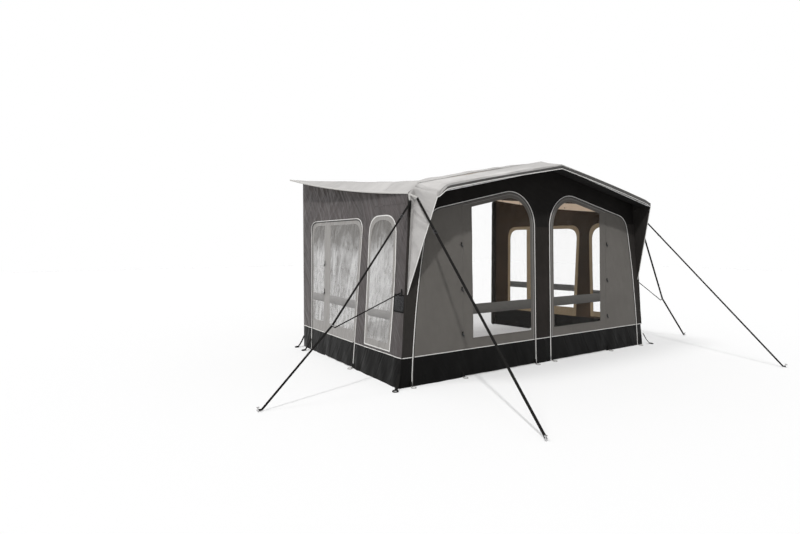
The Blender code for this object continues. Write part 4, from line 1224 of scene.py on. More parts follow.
@dataclass
class Sweep:
    """A band, a bead or a tube that follows a line."""

    name: str
    path: list[Vector]
    profile: Loop
    finish: Finish
    normals: Optional[list[Vector]] = None
    swell: Optional[Callable[[float], float]] = None

    def frames(self) -> list[tuple[Vector, Vector]]:
        """Return the directions across and outward at every point of the line."""
        last = len(self.path) - 1
        frames = []
        outward = None
        for index in range(last + 1):
            ahead = self.path[min(index + 1, last)] - self.path[max(index - 1, 0)]
            ahead.normalize()
            if self.normals:
                outward = self.normals[index]
            elif outward is None:
                outward = Vector((0.0, 0.0, 1.0)) if abs(ahead.z) < 0.9 else Vector((0.0, 1.0, 0.0))
            outward = (outward - ahead * outward.dot(ahead)).normalized()
            frames.append((ahead.cross(outward), outward))
        return frames

    def build(self) -> bpy.types.Object:
        """Draw the cross-section along the line and close both ends."""
        work = bmesh.new()
        run = work.verts.layers.float.new("run")
        turn = work.verts.layers.float.new("turn")
        ends = self.profile[1:] + self.profile[:1]
        edge_lengths = [math.dist(a, b) for a, b in zip(self.profile, ends)]
        turns = [sum(edge_lengths[:index]) for index in range(len(self.profile))]
        ring = [work.verts.new() for _ in self.profile]
        edges = [work.edges.new(pair) for pair in zip(ring, ring[1:] + ring[:1])]
        rims = [list(edges)]
        length = 0.0
        total = sum((b - a).length for a, b in zip(self.path, self.path[1:]))
        for index, (across, outward) in enumerate(self.frames()):
            if index:
                length += (self.path[index] - self.path[index - 1]).length
                made = bmesh.ops.extrude_edge_only(work, edges=edges)["geom"]
                fresh = {item for item in made if isinstance(item, bmesh.types.BMVert)}
                ring = [next(edge.other_vert(old) for edge in old.link_edges
                             if edge.other_vert(old) in fresh) for old in ring]
                edges = [work.edges.get(pair) for pair in zip(ring, ring[1:] + ring[:1])]
            scale = self.swell(length / total) if self.swell else 1.0
            for vert, (x, y), at in zip(ring, self.profile, turns):
                vert.co = self.path[index] + (across * x + outward * y) * scale
                vert[run], vert[turn] = length, at
        rims.append(list(edges))
        for rim in rims:
            bmesh.ops.edgeloop_fill(work, edges=rim)
        layer = work.loops.layers.uv.new(CLOTH_UV)
        for face in work.faces:
            for corner in face.loops:
                corner[layer].uv = (corner.vert[turn], corner.vert[run])
        face_outwards(work)
        return finished(self.name, work, [self.finish], 50.0)


def laid(place: Place, line: Loop, lift: float, step: float = 0.035
         ) -> tuple[list[Vector], list[Vector]]:
    """Lay a line on a face of the awning.

    Args:
        place: The face.
        line: Points as (along, up).
        lift: How far outside the cloth's face the line runs.
        step: The longest step between points.

    Returns:
        The points in space and the outward direction at each.
    """
    points, normals = [], []
    for along, up in sampled(line, step):
        point = place(along, up, -lift)
        points.append(point)
        normals.append((place(along, up, -1.0) - place(along, up, 0.0)).normalized())
    return points, normals


def bead(name: str, place: Place, line: Loop, finish: Finish, radius: float = 0.0046
         ) -> bpy.types.Object:
    """Make a round bead, such as piping, along a line on a face."""
    points, normals = laid(place, line, radius * 0.5)
    return Sweep(name, points, round_profile(radius, 6), finish, normals).build()


def band(name: str, place: Place, line: Loop, width: float, finish: Finish,
         lift: float = 0.0004, thickness: float = 0.0012, step: float = 0.035
         ) -> bpy.types.Object:
    """Make a flat band, such as a tape, along a line on a face."""
    points, normals = laid(place, line, lift, step)
    return Sweep(name, points, flat_profile(width, thickness), finish, normals).build()


def joined(name: str, pieces: Sequence[bpy.types.Object]) -> bpy.types.Object:
    """Join pieces at the origin into one, each keeping its finish."""
    work = bmesh.new()
    materials: list[bpy.types.Material] = []
    for piece in pieces:
        mesh = piece.data
        before = len(work.faces)
        numbers = []
        for mat in mesh.materials:
            if mat not in materials:
                materials.append(mat)
            numbers.append(materials.index(mat))
        work.from_mesh(mesh)
        work.faces.ensure_lookup_table()
        for face in work.faces[before:]:
            face.material_index = numbers[face.material_index]
        bpy.data.objects.remove(piece)
        bpy.data.meshes.remove(mesh)
    mesh = bpy.data.meshes.new(name)
    work.to_mesh(mesh)
    work.free()
    for mat in materials:
        mesh.materials.append(mat)
    obj = bpy.data.objects.new(name, mesh)
    bpy.context.scene.collection.objects.link(obj)
    return obj


def shaped_block(name: str, size: Sequence[float], matrix: Matrix, finish: Finish,
                 edge: float, segments: int = 2) -> bpy.types.Object:
    """Make a block with rounded edges at a place."""
    work = bmesh.new()
    bmesh.ops.create_cube(work, size=1.0)
    bmesh.ops.scale(work, vec=size, verts=work.verts)
    bmesh.ops.bevel(work, geom=list(work.edges), offset=edge, segments=segments, profile=0.5,
                    affect="EDGES", material=-1)
    work.loops.layers.uv.new(CLOTH_UV)
    bmesh.ops.transform(work, matrix=matrix, verts=work.verts)
    return finished(name, work, [finish])


def ring(name: str, centre: Vector, axis: Vector, radius: float, wire: float,
         finish: Finish) -> bpy.types.Object:
    """Make a round ring of wire by spinning its cross-section."""
    work = bmesh.new()
    made = bmesh.ops.create_circle(work, segments=8, radius=wire)
    bmesh.ops.rotate(work, verts=made["verts"], cent=(0, 0, 0),
                     matrix=Matrix.Rotation(math.pi / 2, 3, "X"))
    bmesh.ops.translate(work, verts=made["verts"], vec=(radius, 0, 0))
    bmesh.ops.spin(work, geom=list(work.verts) + list(work.edges), cent=(0, 0, 0),
                   axis=(0, 0, 1), angle=math.tau, steps=24, use_merge=True)
    bmesh.ops.remove_doubles(work, verts=work.verts, dist=TINY)
    work.loops.layers.uv.new(CLOTH_UV)
    turn = axis.to_track_quat("Z", "Y").to_matrix().to_4x4()
    bmesh.ops.transform(work, matrix=Matrix.Translation(centre) @ turn, verts=work.verts)
    face_outwards(work)
    return finished(name, work, [finish])


# ---- The awning's sub-assemblies ----


@dataclass
class Roof:
    """The roof sheet, its hem and the crest seam."""

    columns: int = 110
    rows: int = 72
    shoulder_share: float = 0.90
    thickness: float = 0.0022
    ripple: float = 0.0120
    crest_roll: float = 0.022
    crest_place: float = 0.190
    crest_width: float = 0.110
    valance: float = 0.088
    valance_gap: float = 0.0034

    def column(self, value: float) -> float:
        """Return the roof's column, 0 to 2, for a grid place of 0 to 1."""
        if value <= self.shoulder_share:
            return value / self.shoulder_share
        return 1.0 + (value - self.shoulder_share) / (1 - self.shoulder_share)

    def lift(self, x: float, depth: float) -> float:
        """Return how far the cloth's folds raise it."""
        value = 1.5 * self.ripple * streaks(x, depth, 8, 0.9, 0.20, 1.7)
        value += self.ripple * 0.8 * streaks(x, depth, 70 if x < 0 else -70, 1.1, 0.18, 6.1)
        value += 0.6 * self.ripple * streaks(x, depth, 12, 0.5, 0.09, 3.3)
        full = math.sin(math.pi * min(1.0, abs(x) / PLAN.shoulder_half)) ** 0.7
        roll = self.crest_roll * full * bump_at(depth, self.crest_place, self.crest_width)
        value *= ease(0.0, 0.14, depth) * ease(0.0, 0.24, PLAN.wall_x(depth, PLAN.eave) - abs(x))
        value += roll * ease(0.02, 0.12, depth)
        return value * ease(0.0, 0.15, PLAN.depth - depth)

    def point(self, x: float, share: float) -> Vector:
        """Return a point of the sheet for a grid place of -1 to 1 and a share of its depth."""
        across, depth, height = PLAN.roof_line(self.column(abs(x)), share)
        along = math.copysign(across, x)
        return Vector((along, PLAN.front_y + depth, height + self.lift(along, depth)))

    def build_sheet(self) -> bpy.types.Object:
        """Build the sheet from the crest to the rail."""
        work = bmesh.new()
        bmesh.ops.create_grid(work, x_segments=self.columns, y_segments=self.rows, size=1.0)
        layer = work.loops.layers.uv.new(CLOTH_UV)
        made = bmesh.ops.extrude_face_region(work, geom=list(work.faces))
        lower = {item for item in made["geom"] if isinstance(item, bmesh.types.BMVert)}
        for item in made["geom"]:
            if isinstance(item, bmesh.types.BMFace):
                item.material_index = 1
        for face in work.faces:
            for corner in face.loops:
                x, y = corner.vert.co.xy
                corner[layer].uv = (x * PLAN.roof_rear_half, y * PLAN.depth / 2)
        for vert in work.verts:
            drop = self.thickness if vert in lower else 0.0
            vert.co = self.point(vert.co.x, (vert.co.y + 1) / 2)
            vert.co.z -= drop
        face_outwards(work)
        return finished("roof_skin", work, [Finishes.roof, Finishes.roof_inside_glow])

    def valance_low(self, depth: float) -> float:
        """Return how low the roof's cloth comes down inside a side wall."""
        share = max(0.0, (depth - PLAN.setback) / (PLAN.depth - PLAN.setback))
        return PLAN.roof_line(2.0, share)[2] - self.valance * (1 + 0.35 * share)

    def build_valance(self, side: Side) -> bpy.types.Object:
        """Build the margin of the roof's cloth that is sewn inside a side wall."""
        place = SIDE_FACES[side]

        def inner(along: float, up: float, inward: float) -> Vector:
            return place(along, up, inward + self.valance_gap)

        count = 40
        start, stop = 0.10, PLAN.depth - 0.02
        depths = [start + (stop - start) * index / count for index in range(count + 1)]
        low = [(depth, self.valance_low(depth)) for depth in depths]
        top = [(depth, PLAN.wall_top(depth) - 0.004) for depth in reversed(depths)]
        cut = ClothCut(f"roof_valance_{side.label}", [low + top], inner,
                       (Finishes.roof_inside_glow,), 0.0010)
        return fit(cut.build(), "root", Slot.ROOF)

    def build(self) -> None:
        """Build and dress the roof."""
        hems = [self.build_valance(side) for side in Side]
        for side in Side:
            path = [self.point(side.value, index / 60) + Vector((0, 0, -0.004))
                    for index in range(61)]
            outward = [Vector((side.value, 0.0, 0.0))] * len(path)
            hem = Sweep(f"eave_hem_{side.label}", path, flat_profile(0.022, 0.003, -0.001),
                        Finishes.light_tape, outward).build()
            hems.append(fit(hem, "root", Slot.ROOF))
        # The crest seam's tape carries painted shade: it is darker than the roof, for the hollow along the
        # seam.
        seam = [self.point(x / 60, 0.004) + Vector((0, 0, 0.0006)) for x in range(-54, 55)]
        up = [Vector((0.0, 0.0, 1.0))] * len(seam)
        crest = Sweep("crest_seam_shade", seam, flat_profile(0.020, 0.0022), Finishes.roof_seam_shade,
                      up).build()
        hems.append(fit(crest, "root", Slot.ROOF))
        skin = fit(self.build_sheet(), "root", Slot.ROOF, "roof_canopy")


@dataclass
class Visor:
    """The visor over the front: its skin, a fascia strip painted dark for the shade under its rounded edge,
    lining and piping.
    """

    thickness: float = 0.0022
    step: float = 0.045
    fascia: float = 0.052
    # strip: height of the band of painted shade above the hem, taller on the right, which faces away from
    # the light.
    strip: dict[Side, float] = field(default_factory=lambda: {Side.LEFT: 0.031,
                                                              Side.RIGHT: 0.046})
    shaded_strip_middle: float = 0.037
    round: float = 0.005
    sag: float = 0.008
    hem_bow: float = 0.036
    hem_bow_end: float = 1.600
    end_drop: dict[Side, float] = field(default_factory=lambda: {Side.LEFT: 0.062,
                                                                 Side.RIGHT: 0.016})

    def section(self, column: float, side: Side) -> list[tuple[Vector, int]]:
        """Return the visor's outline at a column, each point with its finish number."""
        crest, top, bottom, rear = PLAN.visor_section(column)
        bow = math.sin(math.pi / 2 * min(1.0, bottom.x / self.hem_bow_end))
        drop = self.end_drop[side] * ease(1.84, PLAN.visor_half, bottom.x)
        bottom.z += self.hem_bow * bow - drop
        top.z = bottom.z + self.fascia
        wide = ease(0.0, 0.5, bottom.x)
        strip = self.shaded_strip_middle * (1 - wide) + self.strip[side] * wide
        # On the left the band of painted shade thins out towards the visor's end.
        if side is Side.LEFT:
            strip *= 1 - 0.8 * ease(1.80, PLAN.visor_half, bottom.x)
        points = []
        for index in range(9):
            t = index / 8
            point = crest.lerp(top, t)
            point.z -= self.sag * math.sin(math.pi * t)
            points.append((point, 0))
        shoulder = points.pop()[0]
        before = points[-1][0].lerp(shoulder, 0.80)
        below = shoulder + Vector((0.0, 0.0, -self.round))
        for index in range(4):
            points.append((Vector(bezier(before, shoulder, below, 3)[index]), 0))
        joint = bottom + Vector((0.0, 0.0, strip))
        points.append((joint, 0))
        points.append((joint + Vector((0.0, 0.0, -0.0005)), 1))
        points.append(((joint + bottom) / 2, 1))
        points.append((bottom, 1))
        for index in range(1, 8):
            t = index / 7
            point = bottom.lerp(rear, t)
            point.z -= 0.006 * math.sin(math.pi * t)
            points.append((point, 2))
        return points

    def head(self, side: Side) -> list[Vector]:
        """Return the outer line of the visor's end, from the crest down to the hem."""
        return [point for point, number in self.section(2.0, side) if number < 2]

    def columns(self) -> list[float]:
        """Return the columns from the left end to the right, as signed values."""
        middle = round(PLAN.shoulder_half / self.step)
        half = [index / middle for index in range(middle + 1)] + [1.25, 1.50, 1.75, 2.0]
        return [-value for value in reversed(half)] + half[1:]

    def ripple(self, x: float, row: int) -> float:
        """Return how far the skin's wrinkles raise a row of it."""
        taut = ease(0.0, 3.0, row) * (1 - ease(7.0, 10.0, row))
        return 0.003 * taut * streaks(x, row * 0.03, 60 if x < 0 else -60, 0.35, 0.07, 2.2)

    def build(self) -> None:
        """Build and dress the visor."""
        columns = self.columns()
        sections = [self.section(abs(value), Side(-1 if value < 0 else 1)) for value in columns]
        rows = len(sections[0])
        work = bmesh.new()
        bmesh.ops.create_grid(work, x_segments=len(columns) - 1, y_segments=rows - 1, size=1.0)
        layer = work.loops.layers.uv.new(CLOTH_UV)
        where = {}
        for vert in work.verts:
            where[vert] = (round((vert.co.x + 1) / 2 * (len(columns) - 1)),
                           round((vert.co.y + 1) / 2 * (rows - 1)))
        for face in work.faces:
            face.material_index = max(sections[0][where[v][1]][1] for v in face.verts)
            for corner in face.loops:
                column, row = where[corner.vert]
                corner[layer].uv = (columns[column] * PLAN.shoulder_half, row * 0.03)
        for vert, (column, row) in where.items():
            point = sections[column][row][0]
            side = -1 if columns[column] < 0 else 1
            vert.co = (side * point.x, PLAN.front_y + point.y,
                       point.z + self.ripple(side * point.x, row))
        bmesh.ops.recalc_face_normals(work, faces=work.faces)
        foremost = min(work.faces, key=lambda face: face.calc_center_median().y)
        if foremost.normal.y > 0:
            bmesh.ops.reverse_faces(work, faces=work.faces)
        skin = finished("visor_skin", work, [Finishes.visor, Finishes.fascia, Finishes.lining],
                        60.0)
        solid = skin.modifiers.new("Thickness", "SOLIDIFY")
        solid.thickness = self.thickness
        solid.offset = -1.0
        fit(skin, "root", Slot.ROOF, "front_visor")
        for label, number, radius, finish in (("hem_piping", -8, 0.0052, Finishes.piping),
                                              ("strip_piping", -11, 0.0020, Finishes.roof)):
            path = []
            for value, section in zip(columns, sections):
                point = section[number][0]
                side = -1 if value < 0 else 1
                path.append(Vector((side * point.x, PLAN.front_y + point.y - radius * 0.6,
                                    point.z - (radius * 0.5 if number == -8 else 0.0))))
            out = [Vector((0.0, -1.0, 0.0))] * len(path)
            trim = Sweep(f"visor_{label}", path, round_profile(radius, 6), finish, out).build()
            fit(trim, "root", Slot.ROOF)


@dataclass
class Wing:
    """The three-cornered wing that closes a visor's end and hangs down the corner."""

    side: Side
    thickness: float = 0.0022
    sag: float = 0.014
    head_rear_x: float = 2.092
    head_rear_height: float = 2.074
    flare: float = 0.046
    rows: int = 34
    wall_columns: int = 5

    def corners(self) -> tuple[Vector, Vector, Vector, Vector]:
        """Return the solid's tip, rear and front top corners, and the outward normal."""
        _, _, fascia, lining = PLAN.visor_section(2.0)
        sign = self.side.value
        tip = Vector((sign * PLAN.wing_tip_x, PLAN.front_y + PLAN.lean * PLAN.wing_tip_height,
                      PLAN.wing_tip_height))
        rear = Vector((sign * lining.x, PLAN.front_y + PLAN.lean * lining.z, lining.z))
        front = Vector((sign * fascia.x, PLAN.front_y + fascia.y, fascia.z))
        normal = (rear - tip).cross(front - tip).normalized()
        normal = normal if normal.x * sign > 0 else -normal
        ahead = 0.0003 + abs(normal.y) * PLAN.solid_sheet / 2
        below = 0.0003 + abs(normal.z) * PLAN.solid_sheet / 2
        clear, drop = Vector((0.0, -ahead, 0.0)), Vector((0.0, 0.0, -below))
        return tip + clear, rear + clear + drop, front + drop, normal

    def head(self) -> list[Vector]:
        """Return the wing's top line, from the wall's corner round to the visor's hem."""
        rear = Vector((self.head_rear_x, PLAN.lean * self.head_rear_height - 0.006,
                       self.head_rear_height))
        line = Visor().head(self.side)
        lead = [rear.lerp(line[0], index / self.wall_columns)
                for index in range(self.wall_columns)]
        return [Vector((self.side.value * (point.x + 0.0008), PLAN.front_y + point.y, point.z))
                for point in lead + line]

    def surface(self, column: float, row: float) -> Vector:
        """Return a point of the wing.

        Args:
            column: Share of the way from the wall to the free edge.
            row: 0 at the tip and 1 at the head.

        Returns:
            The point, hollowed between the edges as a pulled sheet is.
        """
        tip, _, _, normal = self.corners()
        head = self.head()
        place = column * (len(head) - 1)
        index = min(int(place), len(head) - 2)
        top = head[index].lerp(head[index + 1], place - index)
        dip = self.sag * math.sin(math.pi * row) * math.sin(math.pi * column)
        dip -= 0.0025 * streaks(column * 0.3, row, 75, 0.5, 0.06, 9.1) * math.sin(math.pi * row)
        point = tip.lerp(top, row) - normal * dip
        point.x += self.side.value * self.flare * (1 - column) ** 4 * ease(0.91, 1.0, row)
        return point

    def build(self) -> None:
        """Build and dress the wing."""
        label = self.side.label
        columns = len(self.head()) - 1
        work = bmesh.new()
        bmesh.ops.create_grid(work, x_segments=columns, y_segments=self.rows, size=0.5)
        map_from_flat(work)
        for vert in work.verts:
            vert.co = self.surface(vert.co.x + 0.5, vert.co.y + 0.5)
        bmesh.ops.remove_doubles(work, verts=work.verts, dist=TINY)
        area = sum(face.calc_area() for face in work.faces)
        bmesh.ops.recalc_face_normals(work, faces=work.faces)
        facing = sum((face.normal * face.calc_area() for face in work.faces), Vector())
        if facing.x * self.side.value < 0:
            bmesh.ops.reverse_faces(work, faces=work.faces)
        skin = finished(f"wing_{label}", work, [Finishes.roof, Finishes.corner], 60.0)
        solid = skin.modifiers.new("Thickness", "SOLIDIFY")
        solid.thickness = self.thickness
        solid.offset = -1.0
        solid.material_offset = 1
        fit(skin, "root", Slot.ROOF, f"visor_wing_{label}")
        outward = [self.corners()[3]] * (self.rows + 1)
        for name, column, radius, finish in (("front", 1.0, 0.0050, Finishes.piping),
                                             ("rear", 0.0, 0.0030, Finishes.roof)):
            path = [self.surface(column, row / self.rows) for row in range(self.rows + 1)]
            trim = Sweep(f"wing_{name}_edge_{label}", path, round_profile(radius, 6), finish,
                         outward).build()
            fit(trim, "root", Slot.ROOF)


@dataclass
class Zip:
    """A zip along a door's edge: two tapes, a coil and a light bead on the frame's tape."""

    name: str
    place: Place
    line: Callable[[float], Loop]
    tape: float = 0.011
    bead_out: float = 0.0075
    bead_radius: float = 0.0050

    def half(self, label: str, offset: float, body: str, slot: Slot, trim: Callable[[Loop], Loop],
             coil: bool) -> bpy.types.Object:
        """Build one half of the zip.

        Args:
            label: The half's name.
            offset: Which way from the zip line it lies, 1 inside or -1 outside.
            body: The body it rides on.
            slot: Its material slot.
            trim: Cuts the half's line to what is on this body.
            coil: Whether this half carries the coil.

        Returns:
            The piece.
        """
        parts = []
        name = f"{self.name}_{label}"
        middle = trim(self.line(offset * self.tape / 2))
        parts.append(band(f"{name}_tape", self.place, middle, self.tape, Finishes.tape, 0.0003))
        edge = trim(self.line(offset * self.bead_out))
        trimming = Finishes.piping if coil else Finishes.tape
        radius = self.bead_radius if coil else self.bead_radius * 0.4
        parts.append(bead(f"{name}_bead", self.place, edge, trimming, radius))
        if coil:
            teeth = trim(self.line(0.0))
            points, normals = laid(self.place, teeth, 0.0014)
            parts.append(Sweep(f"{name}_coil", points, flat_profile(0.006, 0.0026, -0.0004),
                               Finishes.coil, normals).build())
        return fit(joined(name, parts), body, slot)


@dataclass
class FrontWall:
    """The gabled frame round the two front doors, and the skirt below its post."""

    seam: float = 0.0003

    def build(self) -> None:
        """Build the gable, the post, the corner strips and the post's skirt."""
        door = FRONT_DOOR
        gap = -self.seam
        arch = door.arch(0.0, gap)[1:]
        shoulder = door.shoulder(PLAN.skirt, gap)
        strip_top = door.top_height - door.corner
        above = [point for point in shoulder if point[1] >= strip_top - 0.02]
        below = [point for point in shoulder if point[1] <= above[-1][1]]
        split = above[-1][1]
        crown = PLAN.solid_sheet + self.seam
        half = [(door.inner + self.seam, door.arch_height)] + arch[1:] + above
        half += [(PLAN.corner_x(split), split),
                 (PLAN.corner_x(PLAN.eave - self.seam), PLAN.eave - self.seam),
                 (PLAN.shoulder_half, PLAN.shoulder - crown)]
        loop = half + [(0.0, PLAN.ridge - crown)] + [(-x, z) for x, z in reversed(half)]
        gable = ClothCut("front_gable", [loop], FRONT, (Finishes.gable,),
                         lining=Finishes.inside)
        gable.sewn("root", Slot.GABLE, "front_wall")
        post = door.inner + self.seam
        column = [(-post, PLAN.skirt), (post, PLAN.skirt), (post, door.arch_height),
                  (-post, door.arch_height)]
        piping = bead("post_skirt_piping", FRONT, [(-post, PLAN.skirt), (post, PLAN.skirt)],
                      Finishes.piping)
        fit(piping, "root", Slot.SKIRT)
        seams = []
        for side in Side:
            line = [(side.value * 0.118, PLAN.skirt), (side.value * 0.118, 1.95)]
            seam = band(f"post_seam_{side.label}", FRONT, line, 0.010, Finishes.post, 0.0002,
                        0.0010)
            seams.append(fit(seam, "root", Slot.GABLE))
        ClothCut("centre_post", [column], FRONT, (Finishes.post,),
                 lining=Finishes.inside).sewn(
            "root", Slot.GABLE, "front_wall", with_pieces=seams)
        for side in Side:
            outline = below + [(PLAN.corner_x(PLAN.skirt), PLAN.skirt),
                               (PLAN.corner_x(split), split)]
            strip = ClothCut(f"corner_strip_{side.label}", [on_side_of(side, outline)], FRONT,
                             (Finishes.corner,), flat=(0.32, 1.62), lining=Finishes.inside)
            strip.sewn("root", Slot.GABLE, "front_wall")
        top = PLAN.skirt - self.seam
        skirt = [(-post, 0.001), (post, 0.001), (post, top), (-post, top)]
        ClothCut("post_skirt", [skirt], FRONT, (Finishes.skirt,)).sewn(
            "root", Slot.SKIRT, "mud_skirt_centre", with_pieces=[piping])


@dataclass
class FrontDoor:
    """One front door with its window, the fixed panel beside it and its zip."""

    side: Side
    seam: float = 0.0003
    band_low: float = 0.715
    band_high: float = 0.835
    arch_line_inset: float = 0.030
    toggles: tuple[float, ...] = (0.505, 1.020, 1.530)

    def panel_path(self, inset: float) -> Loop:
        """Return the zip's line round the whole opening, from foot to foot."""
        door = FRONT_DOOR
        return on_side_of(self.side, door.arch(0.0, inset) + door.shoulder(0.0, inset))

    def cut_at_fold(self, keep_inner: bool) -> Callable[[Loop], Loop]:
        """Return a function that keeps the line on one side of the fold."""
        fold = FRONT_DOOR.fold
        gap = 0.004

        def trim(line: Loop) -> Loop:
            kept = [(abs(x), z) for x, z in sampled(line, 0.02)]
            if keep_inner:
                kept = [p for p in kept if p[0] < fold - gap]
                kept = [(x, max(z, PLAN.sweep_gap)) for x, z in kept]
            else:
                kept = [p for p in kept if p[0] > fold + gap]
            return on_side_of(self.side, kept)

        return trim

    def build_toggles(self) -> list[bpy.types.Object]:
        """Build the loops and toggles that hold the door when it is rolled up."""
        made = []
        for number, height in enumerate(self.toggles):
            along = self.side.value * (FRONT_DOOR.fold + 0.030)
            line = [(along, height + 0.020), (along, height - 0.014)]
            strap = band(f"toggle_strap_{number}", FRONT, line, 0.020, Finishes.webbing, 0.001,
                         0.002, 0.01)
            at = FRONT(along, height - 0.016, -0.010)
            turn = Matrix.Rotation(math.radians(-40), 4, "Y")
            bar = shaped_block(f"toggle_bar_{number}", (0.017, 0.014, 0.044),
                               Matrix.Translation(at) @ turn, Finishes.plastic, 0.004)
            name = f"front_toggle_{self.side.label}_{number}"
            made.append(fit(joined(name, [strap, bar]), "root", Slot.PLASTIC))
        return made

    def build(self) -> None:
        """Build and dress the door, its window, its panel and its zip."""
        door, side = FRONT_DOOR, self.side
        label, body = side.label, f"{side.label}_front_door"
        fold = door.fold - self.seam
        flap = door.arch(PLAN.sweep_gap, self.seam)
        flap += [(fold, door.top(fold, self.seam)), (fold, PLAN.sweep_gap)]
        loops = [on_side_of(side, loop) for loop in (flap, door.window())]
        piping = bead(f"door_skirt_piping_{label}", FRONT, on_side_of(
            side, [(door.inner + 0.018, PLAN.skirt), (fold - 0.002, PLAN.skirt)]), Finishes.piping)
        frame_line = on_side_of(side, door.window(-0.009) + door.window(-0.009)[:1])
        welt = band(f"window_welt_{label}", FRONT, frame_line, 0.014, Finishes.door, 0.0002,
                    0.0010)
        arch_line = on_side_of(side, door.arch(PLAN.skirt + 0.01, self.arch_line_inset)
                               + [(fold, door.top(fold, self.arch_line_inset))])
        arch_bead = bead(f"arch_bead_{label}", FRONT, arch_line, Finishes.dim_piping, 0.0034)
        hem = band(f"door_hem_{label}", FRONT, on_side_of(
            side, [(door.inner + 0.01, PLAN.sweep_gap + 0.012), (fold, PLAN.sweep_gap + 0.012)]),
            0.022, Finishes.skirt, 0.0004)
        trims = [fit(piece, body, slot) for piece, slot in (
            (piping, Slot.SKIRT), (welt, Slot.DOOR), (arch_bead, Slot.DOOR),
            (hem, Slot.SKIRT))]
        ClothCut(f"front_flap_{label}", loops, FRONT, (Finishes.door, Finishes.skirt),
                 lower_below=PLAN.skirt, lining=Finishes.inside).sewn(body, Slot.DOOR, f"front_door_{label}",
                                              with_pieces=trims)
        centre = (self.band_low + self.band_high) / 2
        cross = band(f"front_window_band_{label}", FRONT, on_side_of(
            side, [(door.inner + door.border - 0.004, centre), (door.window_outer + 0.004, centre)]),
            self.band_high - self.band_low, Finishes.band, 0.0004, 0.0012)
        fit(cross, body, Slot.DOOR)
        ClothCut(f"front_pane_{label}", [on_side_of(side, door.window(self.seam))], FRONT,
                 (Finishes.clear,), 0.0010, inset=0.0012).sewn(
                     body, Slot.PANE, f"front_window_{label}", with_pieces=[cross])
        start = door.fold + self.seam
        panel = [(start, 0.001), (start, door.top(start, self.seam))]
        panel += door.shoulder(0.001, self.seam)
        piping = bead(f"panel_skirt_piping_{label}", FRONT, on_side_of(
            side, [(start + 0.002, PLAN.skirt), (door.outer(PLAN.skirt) - 0.018, PLAN.skirt)]),
            Finishes.piping)
        seam = band(f"fold_seam_{label}", FRONT, on_side_of(
            side, [(start + 0.010, PLAN.skirt + 0.008),
                   (start + 0.010, door.top(start) - 0.03)]), 0.012,
            Finishes.door, 0.0002, 0.0010)
        trims = [fit(piping, "root", Slot.SKIRT), fit(seam, "root", Slot.DOOR)]
        trims += self.build_toggles()
        ClothCut(f"front_side_panel_{label}", [on_side_of(side, panel)], FRONT,
                 (Finishes.door, Finishes.skirt), lower_below=PLAN.skirt,
                 lining=Finishes.inside).sewn(
                     "root", Slot.DOOR, f"front_panel_{label}", with_pieces=trims)
        fastening = Zip(f"front_zip_{label}", FRONT, self.panel_path)
        fastening.half("frame", -1, "root", Slot.GABLE, lambda line: line, True)
        fastening.half("door", 1, body, Slot.DOOR, self.cut_at_fold(True), False)
        fastening.half("panel", 1, "root", Slot.DOOR, self.cut_at_fold(False), False)


